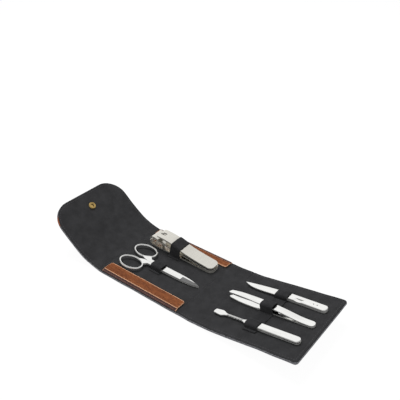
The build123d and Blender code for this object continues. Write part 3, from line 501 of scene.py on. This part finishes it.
def rounded_line(corners, radii, like=None, step=0.7):
    """Points and left-hand normals along a line in a plane whose inner corners are rounded.

    like is a line with the same corners in other places, which gives the number of points on each run.
    """
    corners = [Vector(c) for c in corners]
    like = [Vector(c) for c in like or corners]
    line = []
    start, ahead = corners[0], (corners[1] - corners[0]).normalized()
    for number in range(len(corners) - 1):
        end = corners[number + 1]
        turn, cut = 0.0, 0.0
        if number < len(radii):
            after = (corners[number + 2] - end).normalized()
            turn = math.atan2(ahead.x * after.y - ahead.y * after.x, ahead.dot(after))
            cut = abs(radii[number] * math.tan(turn / 2))
        left = Vector((-ahead.y, ahead.x))
        stop = end - ahead * cut
        for t in np.linspace(0, 1, max(2, int((like[number + 1] - like[number]).length / step) + 1)):
            line.append((start.lerp(stop, t), left))
        if turn:
            centre = stop + left * math.copysign(radii[number], turn)
            for t in np.linspace(0, 1, 8)[1:-1]:
                c, s = math.cos(turn * t), math.sin(turn * t)
                arm, side = stop - centre, left
                spun = [Vector((v.x * c - v.y * s, v.x * s + v.y * c)) for v in (arm, side)]
                line.append((centre + spun[0], spun[1]))
            start, ahead = end + after * cut, after
    return line


# ---------------------------------------------------------------- leather case
ACROSS = [math.copysign(1 - (1 - abs(t)) ** 1.5, t) for t in np.linspace(-1, 1, 57)]
ROW_STEP = 1.5
CREASE_ROWS = 3.0  # on each side of a crease, rows are closer together
CREASE_STEP = 0.4
LINING_INSET = 0.5  # the lining is cut a little smaller than the leather
OUTER_SOFT, LINING_SOFT = 0.35, 0.18  # how wide their cut edges are rounded
EDGE_LIFT = 0.45  # most that a worn edge curls up
EDGE_ZONE = 40.0  # length at a free end over which it counts as near the edge
SAG = 0.35  # most that a free panel bows down between its edges
FREE_FROM = (54.0, 72.0)  # places where the leather leaves the ground, and where it sags in full
TOOL_LANE = (28.0, 38.0)  # from the middle line: the tools slide out over the first, so no edge curls up there
CREASE_DEPTH = 0.3
CREASE_HALF_WIDTH = 0.9


# The lengths of the waves below are in millimetres. None fits into another, so the wear doesn't repeat.
def surface_shift(side, s, y):
    """How far worn leather stands above its flat shape at a place."""
    free = smooth_step(s, *FREE_FROM)
    wave = 0.5 + 0.3 * math.sin(side.way * s / 9.0 + y * 0.02) + 0.2 * math.sin(s / 3.7 + 1.3 * side.way)
    near_edge = max(abs(y) / HALF_WIDTH, 1 - (side.total - s) / EDGE_ZONE)
    lift = EDGE_LIFT * wave * smooth_step(near_edge, 0.87, 1.0) * free
    if side is FRONT_SIDE:
        lift *= smooth_step(abs(y), *TOOL_LANE)
    bow = -SAG * free * (0.5 + 0.5 * math.sin(s / 13.0 + y / 17.0) * math.cos(y / 14.0 - s / 31.0))
    crease = 0.0
    for fold in side.creases:
        wander = 0.5 * math.sin(y / 8.0 + fold) + 0.3 * math.sin(y / 3.1)
        across = math.exp(-(((s - fold - wander) / CREASE_HALF_WIDTH) ** 2))
        crease -= CREASE_DEPTH * across * (0.75 + 0.25 * math.sin(y / 5.0))
    return lift + bow * (1 - smooth_step(near_edge, 0.8, 1.0)) + crease


def edge_wander(side, s, hand):
    """How far the cut edge wanders from a straight line."""
    return 0.14 * math.sin(s / 11.0 + hand) + 0.09 * math.sin(s / 4.3 + 2.0 * hand + side.way)


def ends_free(side, high):
    """Whether a stretch that ends at high ends at the case's own edge."""
    return high >= side.total - 0.01


def case_rows(side, low, high, inset):
    """Places along one stretch, closer together at creases and at a rounded free end."""
    if ends_free(side, high):
        rows = spaced(low, high - inset, ROW_STEP, side.free_corner - inset)
    else:
        rows = spaced(low, high, ROW_STEP)
    for fold in side.creases:
        rows += list(np.arange(fold - CREASE_ROWS, fold + CREASE_ROWS + 0.01, CREASE_STEP))
    return sorted({round(r, 3) for r in rows if low <= r <= high})


def make_layer(name, side, low, high, w_low, w_high, inset, materials):
    """One closed layer of the case between two places along it, from w_low to w_high above the lining."""
    free_end = ends_free(side, high)
    rows = case_rows(side, low, high, inset)
    top, bottom, uvs = [], [], []
    for s in rows:
        half = side.half_width(s + (inset if free_end else 0.0)) - inset
        line = []
        for t in ACROSS:
            y = t * (half + edge_wander(side, s, math.copysign(1, t)) * abs(t) ** 8)
            line.append((y, surface_shift(side, s, y)))
            uvs.append((side.way * s, y))
        top.append([side.at(s, w_high + shift, y) for y, shift in line])
        bottom.append([side.at(s, w_low + shift, y) for y, shift in line])
    plain = {0} if free_end else {0, len(rows) - 1}

    def finish(row, column):
        """The outer leather's border, which shows beside the smaller lining, is worn as its edge is."""
        return int(column < 2 or column > len(ACROSS) - 4 or (free_end and row > len(rows) - 4))

    piece = sheet_mesh(name, top, bottom, uvs, materials, plain, top_material=finish if w_high < 0 else None)
    face_outwards(piece)
    return piece


def make_case():
    """The case in four stretches of two layers each, which stand for its panels and spines."""
    replaced = {
        "back_to_spine": ("back", "lower_spine"),
        "spine_to_front": ("front",),
        "back_to_upper_spine": (),
        "upper_spine_to_flap": ("flap", "upper_spine"),
    }
    for name, side, low, high, body_a, body_b, fold_s in STRETCHES:
        where = (side, low, high)
        outer = make_layer(f"outer_{name}", *where, -SHELL, -LINING, 0.0, [OUTER_LEATHER, OUTER_EDGE])
        lining = make_layer(f"lining_{name}", *where, -LINING, 0.0, LINING_INSET, [LINING_SUEDE, LINING_EDGE])
        for piece, slot, width in ((outer, "outer_leather", OUTER_SOFT), (lining, "suede_lining", LINING_SOFT)):
            soften_edges(piece, width, 3, weighted=True)
            apply_modifiers(piece)
            bend_over_fold(piece, side, body_a, body_b, fold_s)
        for panel in replaced[name]:
            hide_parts(f"{panel}_leather")
            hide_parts(f"{panel}_lining")


# ---------------------------------------------------------------- stitches
STITCH_LENGTH = 1.9
STITCH_PITCH = 2.6
STITCH_RADIUS = 0.24
STITCH_INSET = 2.6  # from the case's edge
STITCH_SINK = 0.14  # how deep the thread has bedded into the leather
# A stitch's rings: place along it, and width and height as shares of its radius
STITCH_RINGS = (
    (-0.5, 0.15, -0.9), (-0.44, 0.7, -0.35), (-0.25, 1.0, 0.1),
    (0.25, 1.0, 0.1), (0.44, 0.7, -0.35), (0.5, 0.15, -0.9),
)
STITCH_SIDES = 8


def add_capsule(points, faces, middle, along, up, length=STITCH_LENGTH, radius=STITCH_RADIUS):
    """One stitch: a thread that dips into its holes at both ends."""
    side = along.cross(up).normalized()
    start = len(points)
    around, last = STITCH_SIDES, len(STITCH_RINGS) - 1
    for place, width, height in STITCH_RINGS:
        for k in range(around):
            turn = 2 * math.pi * k / around
            ring = (side * math.cos(turn) + up * math.sin(turn)) * radius * width
            points.append(middle + along * (place * length) + ring + up * (height * radius))
    for r in range(last):
        for k in range(around):
            a, b = start + r * around + k, start + r * around + (k + 1) % around
            faces.append((a, b, b + around, a + around))
    faces.append(tuple(start + k for k in reversed(range(around))))
    faces.append(tuple(start + last * around + k for k in range(around)))


def stitch_line(side, inset):
    """Places (s, y, direction) along the seam of one side of the case, round its free end."""
    radius = max(side.free_corner - inset, 0.4)
    end, half = side.total - inset, HALF_WIDTH - inset
    line = [(s, half) for s in np.arange(1.0, end - radius, 0.25)]
    for t in np.linspace(0, math.pi / 2, 60):
        line.append((end - radius + radius * math.sin(t), half - radius + radius * math.cos(t)))
    line += [(end, y) for y in np.arange(half - radius - 0.25, -0.1, -0.25)]
    places, run = [], STITCH_PITCH / 2
    for (s1, y1), (s2, y2) in zip(line, line[1:]):
        step = math.hypot(s2 - s1, y2 - y1)
        run += step
        if run >= STITCH_PITCH:
            run -= STITCH_PITCH
            places.append((s2, y2, (s2 - s1) / step, (y2 - y1) / step))
    return places + [(s, -y, ds, -dy) for s, y, ds, dy in reversed(places)]


def make_case_stitches():
    """The seam round the case on both faces, but for the stretch that the gussets cover."""
    for name, side, low, high, body_a, body_b, fold_s in STRETCHES:
        for face, w, sign in (("inside", 0.0, 1), ("outside", -SHELL, -1)):
            points, faces = [], []
            for s, y, ds, dy in stitch_line(side, STITCH_INSET):
                under_gusset = face == "inside" and s < SPINE_START
                if not low <= s < high or under_gusset:
                    continue
                shift = surface_shift(side, s, y)
                middle = side.at(s, w + shift - sign * STITCH_SINK, y)
                next_s, next_y = s + 0.5 * ds, y + 0.5 * dy
                beyond = side.at(next_s, w + surface_shift(side, next_s, next_y) - sign * STITCH_SINK, next_y)
                ahead = (beyond - middle).normalized()
                up = (side.at(s, w + shift + sign, y) - middle).normalized()
                add_capsule(points, faces, middle, ahead, up)
            if points:
                piece = make_mesh(f"stitches_{face}_{name}", points, faces, [THREAD], sharp=80)
                bend_over_fold(piece, side, body_a, body_b, fold_s)


# ---------------------------------------------------------------- gussets
GUSSET_CORNER = 2.2
GUSSET_SOFT = 0.16
GUSSET_STEP = 1.3
WALL_COLUMNS = 12
WALL_EDGE = 0.5  # from the fold to where the wall is flat
SKIVED = 0.75  # width of the pale strip along the free edge
CURL = 0.14  # how far the free edge bends down
FOLD_PRESS = (2.2, 0.1)  # a line pressed beside the fold: its distance and depth
EDGE_PRESS = (1.5, 0.06)  # another beside the free edge
PRESS_HALF_WIDTH = 0.35


def pressed(distance, depth):
    """Depth of a pressed line at a distance from its middle."""
    return depth * math.exp(-((distance / PRESS_HALF_WIDTH) ** 2))


def make_gusset(name, hand):
    """One strip of brown leather: the sewn flange, the fold and the wall that lies flat inwards.

    hand is -1 on the near side and +1 on the far one.
    """
    wall_low, wall_high = box_mm(name)
    flange_low, flange_high = box_mm(f"{name}_flange")
    outer = max(abs(flange_low.y), abs(flange_high.y))
    fold = abs(joint_place(f"{name.split('_')[1]}_gusset_fold").y)
    free = min(abs(wall_low.y), abs(wall_high.y))
    flange_top, wall_top, wall_under = flange_high.z - SHELL, wall_high.z - SHELL, wall_low.z - SHELL
    # Across the strip: distance q from the case's middle line, height of the top and of the underside
    section = [
        (outer, flange_top, 0.0), (outer - 0.5, flange_top, 0.0), (fold + 1.1, flange_top, 0.0),
        (fold + 0.75, flange_top + 0.08, 0.05), (fold + 0.45, flange_top + 0.3, 0.3),
        (fold + 0.15, flange_top + 0.75, 0.6), (fold - 0.15, wall_top - 0.2, 0.8),
        (fold - WALL_EDGE, wall_top, wall_under),
    ]
    for t in np.linspace(0, 1, WALL_COLUMNS + 1)[1:-1]:
        section.append((fold - WALL_EDGE + (free + SKIVED - fold + WALL_EDGE) * t, wall_top, wall_under))
    section += [(free + SKIVED, wall_top, wall_under), (free, wall_top - 0.05, wall_under + 0.05)]
    runs = range(len(section) - 1)
    # The columns over the fold get the pale edge leather: partly wear on the crease and partly a painted highlight
    # on its ridge
    crease = {c for c in runs if fold - 0.6 < section[c + 1][0] and section[c][0] < fold + 0.2}
    rows = set(spaced(wall_low.x, wall_high.x, GUSSET_STEP))
    for into in (0.4, 0.9, 1.7):  # closer together at the round corners
        rows |= {wall_low.x + into, wall_high.x - into}
    rows = sorted(rows)
    top, bottom, uvs = [], [], []
    for x in rows:
        into = GUSSET_CORNER - min(x - wall_low.x, wall_high.x - x)
        cut = GUSSET_CORNER - math.sqrt(max(GUSSET_CORNER**2 - max(into, 0.0) ** 2, 0.0))
        over, under = [], []
        for q, h_top, h_under in section:
            t = min(max((fold - q) / (fold - free), 0.0), 1.0)
            place = q + cut * t + 0.12 * math.sin(x / 6.0 + hand) * t
            curl = t * t * (-CURL + 0.04 * math.sin(x / 8.0) + 0.02 * math.sin(x / 3.3 + 1.0))
            fold_press = pressed(q - fold + FOLD_PRESS[0], FOLD_PRESS[1])
            dent = -fold_press - pressed(q - free - EDGE_PRESS[0], EDGE_PRESS[1])
            over.append(back_place(x, hand * place, h_top + curl + dent))
            under.append(back_place(x, hand * place, h_under + curl))
            uvs.append((x, q))
        top.append(over)
        bottom.append(under)
    skived = len(section) - 2
    materials = [BROWN_LEATHER, BROWN_EDGE, SHADED_FLANGE_LEATHER]

    def finish(row, column):
        """Pale where the leather is cut or skived; pale along the fold, which is partly wear and partly a painted
        highlight on its ridge; darker on the flange, which is painted shade.
        """
        if row in (0, len(rows) - 2) or column == skived or column in crease:
            return 1
        return 2 if section[column][0] > fold + 0.4 else 0

    piece = sheet_mesh(name + "_leather", top, bottom, uvs, materials, top_material=finish)
    # The flange's outer cut side is painted the darker flange brown as well, which is painted shade
    for face in piece.data.polygons:
        if abs(face.center.y) / MM > outer - 0.05:
            face.material_index = 2
    face_outwards(piece)
    soften_edges(piece, GUSSET_SOFT, 2, weighted=True)
    apply_modifiers(piece)
    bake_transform(piece)
    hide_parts(name, f"{name}_flange")

    points, faces = [], []
    for x in np.arange(wall_low.x + 2.0, wall_high.x - 1.5, STITCH_PITCH):
        middle = back_place(x, hand * (outer + fold + 1.0) / 2, flange_top)
        add_capsule(points, faces, middle, Vector((1, 0, 0)), Vector((0, 0, 1)))
    seam = make_mesh(name + "_stitches", points, faces, [BROWN_THREAD], sharp=80)
    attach(seam, "back")


# ---------------------------------------------------------------- straps
STRAP_THICK = 0.8
STRAP_CROWN = 0.18  # how far the middle of a band stands above its edges
STRAP_SOFT = 0.2
STRAP_COLUMNS = 13
SEAM_INSET = 1.3  # from a strap's ends and edges
STRAP_PITCH = 2.1  # of its stitches
CORNER_RADII = (0.6, 1.7, 1.7, 0.6)
TAB = 3.6  # sewn down beside each loop
BACK_STRAP = (-10.7, 2.3)
FRONT_STRAP = (38.4, 51.1)
STRAP_SKEW = 0.025  # the front strap is sewn on a little askew
# Each loop's middle, inner width, which is its tool's and some ease, and height
SCISSORS_LOOP = (-7.5, 8.6, 5.1)
FRONT_LOOPS = ((-23.4, 7.1 + 0.9, 3.8), (0.9, 6.7 + 0.9, 8.05), (24.35, 7.6 + 1.8, 3.75))
CLIPPER_LOOP = (24.1, 14.2 + 0.9)
CLIPPER_HEIGHTS = (14.9, 11.6)  # at the loop's two edges
CLIPPER_LEANS = (math.tan(math.radians(11.0)), math.tan(math.radians(6.0)))
BETWEEN_LOOPS = 2.2  # from a loop to the seam that is shared with the next


def make_strap(name, place, low, high, corners_at, radii):
    """A leather band across a panel that arches over its tools.

    corners_at gives the corners of its middle line at a share 0..1 of its width, and place puts a point of
    that line on the panel.
    """
    top, bottom, uvs = [], [], []
    for t in np.linspace(0, 1, STRAP_COLUMNS):
        x = low + (high - low) * t
        run = 0.0
        over, under = [], []
        line = rounded_line(corners_at(t), radii, like=corners_at(0.5))
        previous = line[0][0]
        for point, normal in line:
            run += (point - previous).length
            previous = point
            edge = abs(2 * t - 1) ** 6 * (0.12 * math.sin(run / 2.3) + 0.08 * math.sin(run / 0.9))
            crown = STRAP_CROWN * (1 - (2 * t - 1) ** 2) * smooth_step(point.y, 1.0, 3.0)
            outer = point + normal * (STRAP_THICK / 2 + crown)
            inner = point - normal * (STRAP_THICK / 2 - crown)
            over.append(place(x + edge, outer.x, outer.y))
            under.append(place(x + edge, inner.x, inner.y))
            uvs.append((x, run))
        top.append(over)
        bottom.append(under)
    piece = sheet_mesh(name, top, bottom, uvs, [STRAP_SUEDE, LINING_EDGE])
    face_outwards(piece)
    soften_edges(piece, STRAP_SOFT, 2, weighted=True)
    apply_modifiers(piece)
    return piece


def loop_corners(y_middle, inner, height):
    """The four corners of a strap's middle line over a loop of this inner width and height."""
    half = inner / 2 + STRAP_THICK / 2
    left, right = y_middle - half, y_middle + half
    floor, top = STRAP_THICK / 2, height + STRAP_THICK / 2
    return [(left, floor), (left, top), (right, top), (right, floor)]


def strap_seam(name, place, lines, low, high, body):
    """Stitches across a strap where it is sewn down; returns the piece."""
    points, faces = [], []
    for y in lines:
        for x in np.arange(low + SEAM_INSET, high - 0.9, STRAP_PITCH):
            middle = place(x, y, STRAP_THICK)
            ahead, up = place(x + 1, y, STRAP_THICK) - middle, place(x, y, STRAP_THICK + 1) - middle
            add_capsule(points, faces, middle, ahead.normalized(), up.normalized(), length=1.5, radius=0.2)
    seam = make_mesh(name, points, faces, [THREAD], sharp=80)
    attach(seam, body)
    return seam


def make_scissors_strap():
    y, inner, height = SCISSORS_LOOP
    ends = (y - inner / 2 - TAB, y + inner / 2 + TAB)
    corners = [(ends[0], STRAP_THICK / 2), *loop_corners(y, inner, height), (ends[1], STRAP_THICK / 2)]
    strap = make_strap("scissors_loop", back_place, *BACK_STRAP, lambda t: corners, CORNER_RADII)
    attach(strap, "back")
    back_place(0, y, 0) * MM
    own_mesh(strap)
    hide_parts("scissors_strap")
    seams = (ends[0] + SEAM_INSET, ends[1] - SEAM_INSET)
    seam = strap_seam("scissors_loop_stitches", back_place, seams, *BACK_STRAP, "back")
    back_place(0, y, 0) * MM
    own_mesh(seam)


def make_clipper_strap():
    """Its arch is tall at the lever's front and lower behind it, and leans back square to the lever."""
    y, inner = CLIPPER_LOOP
    low, high = BACK_STRAP
    ends = (y - inner / 2 - TAB, y + inner / 2 + TAB)

    def lean_at(t):
        return CLIPPER_LEANS[0] + (CLIPPER_LEANS[1] - CLIPPER_LEANS[0]) * t

    def corners_at(t):
        height = CLIPPER_HEIGHTS[0] + (CLIPPER_HEIGHTS[1] - CLIPPER_HEIGHTS[0]) * t
        arch = loop_corners(y, inner, height / math.hypot(1, lean_at(t)))
        return [(ends[0], STRAP_THICK / 2), *arch, (ends[1], STRAP_THICK / 2)]

    def place(x, y_here, h):
        return back_place(x + h * lean_at((x - low) / (high - low)), y_here, h)

    strap = make_strap("clipper_loop", place, low, high, corners_at, CORNER_RADII)
    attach(strap, "back")
    back_place(0, y, 0) * MM
    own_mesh(strap)
    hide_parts("clipper_strap")
    seams = (ends[0] + SEAM_INSET, ends[1] - SEAM_INSET)
    seam = strap_seam("clipper_loop_stitches", back_place, seams, low, high, "back")
    back_place(0, y, 0) * MM
    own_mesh(seam)


def make_front_strap():
    """One strap with a loop for each of the three front tools, sewn down beside each."""
    (first, first_width, _), (last, last_width, _) = FRONT_LOOPS[0], FRONT_LOOPS[-1]
    ends = (first - first_width / 2 - TAB, last + last_width / 2 + TAB)
    corners = [(ends[0], STRAP_THICK / 2)]
    seams = [ends[0] + SEAM_INSET]
    for number, loop in enumerate(FRONT_LOOPS):
        if number:
            seams += [corners[-1][0] + BETWEEN_LOOPS, loop[0] - loop[1] / 2 - BETWEEN_LOOPS]
        corners += loop_corners(*loop)
    corners.append((ends[1], STRAP_THICK / 2))
    seams.append(ends[1] - SEAM_INSET)

    def place(u, y, h):
        return front_place(u + STRAP_SKEW * y, y, h)

    radii = CORNER_RADII * len(FRONT_LOOPS)
    strap = make_strap("front_loops", place, *FRONT_STRAP, lambda t: corners, radii)
    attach(strap, "front_panel")
    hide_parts("front_strap")
    strap_seam("front_loops_stitches", place, seams, *FRONT_STRAP, "front_panel")


# ---------------------------------------------------------------- stage, light
FLOOR_SIZE = 3000  # half of its side
FLOOR_DROP = 0.5  # below the case, whose seam stands a little lower than its leather
FLOOR_GLOW = 1.05  # strength of the white that the camera and the metal see in place of the floor
FLOOR_WHITE = 0.9  # its share; the rest is the floor as it is lit, with the shadow
SKY = 0.44  # light from all round on what isn't metal
ROOM_DIM, ROOM_BRIGHT = 0.55, 1.0  # what metal sees of the room
ROOM_SIDE = (-0.66, 0.72, 0.2)  # towards its bright wall
ROOM_EDGES = (0.1, 0.92)  # how far towards that wall the dim part ends and the bright one begins


def make_stage():
    """A white floor that keeps the shadow, and a white world."""
    corners = [(FLOOR_SIZE * x, FLOOR_SIZE * y, 0) for x, y in ((-1, -1), (1, -1), (1, 1), (-1, 1))]
    floor = make_mesh("floor", corners, [(0, 1, 2, 3)], [])
    floor.location.z = -FLOOR_DROP * MM
    material = bpy.data.materials.new("floor")
    material.use_nodes = True
    tree = material.node_tree
    tree.nodes.clear()
    lit = tree.nodes.new("ShaderNodeBsdfDiffuse")
    lit.inputs["Color"].default_value = (0.85, 0.85, 0.85, 1)
    white = tree.nodes.new("ShaderNodeEmission")
    white.inputs["Strength"].default_value = FLOOR_GLOW
    path = tree.nodes.new("ShaderNodeLightPath")
    seen = tree.nodes.new("ShaderNodeMath")
    seen.operation = "MAXIMUM"
    share = tree.nodes.new("ShaderNodeMath")
    share.operation = "MULTIPLY"
    share.inputs[1].default_value = FLOOR_WHITE
    mixed = tree.nodes.new("ShaderNodeMixShader")
    out = tree.nodes.new("ShaderNodeOutputMaterial")
    tree.links.new(path.outputs["Is Camera Ray"], seen.inputs[0])
    tree.links.new(path.outputs["Is Glossy Ray"], seen.inputs[1])
    tree.links.new(seen.outputs[0], share.inputs[0])
    tree.links.new(share.outputs[0], mixed.inputs[0])
    tree.links.new(lit.outputs[0], mixed.inputs[1])
    tree.links.new(white.outputs[0], mixed.inputs[2])
    tree.links.new(mixed.outputs[0], out.inputs[0])
    floor.data.materials.append(material)

    world = bpy.data.worlds.new("studio")
    bpy.context.scene.world = world
    world.use_nodes = True
    tree = world.node_tree
    tree.nodes.clear()
    path = tree.nodes.new("ShaderNodeLightPath")
    # The camera sees white, metal a bright wall behind the case and a dimmer room in front of it.
    where = tree.nodes.new("ShaderNodeTexCoord")
    side = tree.nodes.new("ShaderNodeVectorMath")
    side.operation = "DOT_PRODUCT"
    side.inputs[1].default_value = ROOM_SIDE
    room = tree.nodes.new("ShaderNodeMapRange")
    for name, value in zip(("From Min", "From Max", "To Min", "To Max"), (*ROOM_EDGES, ROOM_DIM, ROOM_BRIGHT)):
        room.inputs[name].default_value = value
    mirrored = tree.nodes.new("ShaderNodeMix")
    mirrored.inputs[2].default_value = SKY
    plain = tree.nodes.new("ShaderNodeMix")
    plain.inputs[3].default_value = 1.0
    back = tree.nodes.new("ShaderNodeBackground")
    back.inputs["Color"].default_value = (1, 1, 1, 1)
    out = tree.nodes.new("ShaderNodeOutputWorld")
    tree.links.new(where.outputs["Generated"], side.inputs[0])
    tree.links.new(side.outputs["Value"], room.inputs["Value"])
    tree.links.new(path.outputs["Is Glossy Ray"], mirrored.inputs[0])
    tree.links.new(room.outputs[0], mirrored.inputs[3])
    tree.links.new(path.outputs["Is Camera Ray"], plain.inputs[0])
    tree.links.new(mirrored.outputs[0], plain.inputs[2])
    tree.links.new(plain.outputs[0], back.inputs["Strength"])
    tree.links.new(back.outputs[0], out.inputs[0])


def make_lamp(name, place, target, size, watts):
    """A soft round lamp, in metres and watts, that metal doesn't mirror."""
    data = bpy.data.lights.new(name, "AREA")
    data.shape, data.size, data.energy = "DISK", size, watts
    lamp = bpy.data.objects.new(name, data)
    bpy.context.scene.collection.objects.link(lamp)
    lamp.visible_glossy = False
    lamp.location = place
    lamp.rotation_euler = (Vector(target) - Vector(place)).to_track_quat("-Z", "Y").to_euler()


def make_lights():
    bpy.context.scene.view_settings.view_transform = "Standard"
    make_lamp("key", (-0.35, 0.25, 0.95), (0, 0, 0), 0.6, 9.0)
    make_lamp("fill", (0.8, -0.6, 0.7), (0, 0, 0), 0.8, 4.0)


# ---------------------------------------------------------------- finishes of the CAD nodes
METAL_SOFT = 0.15
HANDLE_SOFT = 0.3  # the pusher's handle is rounder
FINISHES = {
    "polished_steel": STEEL, "brass": BRASS, "stiffening_board": BOARD, "strap_leather": STRAP_SUEDE,
    "brown_leather": BROWN_LEATHER, "outer_leather": OUTER_LEATHER, "suede_lining": LINING_SUEDE,
}
TOOL_STEELS = {"clipper": CLIPPER_STEEL, "scissors": SCISSORS_STEEL}


def paint_cad():
    """Gives every CAD node its finish and rounds the metal's edges."""
    for part in frame["record"]["subparts"]:
        name, slot = part["node"], part["material_slot"]
        node, finish = nodes[name], FINISHES[slot]
        if name == "knife_rivets":
            finish = DARK_STEEL
        elif slot == "polished_steel":
            finish = TOOL_STEELS.get(name.split("_")[0], STEEL)
        node.data.materials.clear()
        node.data.materials.append(finish)
        if name.startswith("pusher_handle"):
            soften_edges(node, HANDLE_SOFT, 3)
        elif slot in ("polished_steel", "brass"):
            soften_edges(node, METAL_SOFT)


make_camera()
make_case()
make_case_stitches()
make_gusset("gusset_near", -1)
make_gusset("gusset_far", 1)
make_scissors_strap()
make_clipper_strap()
make_front_strap()
paint_cad()
make_stage()
make_lights()
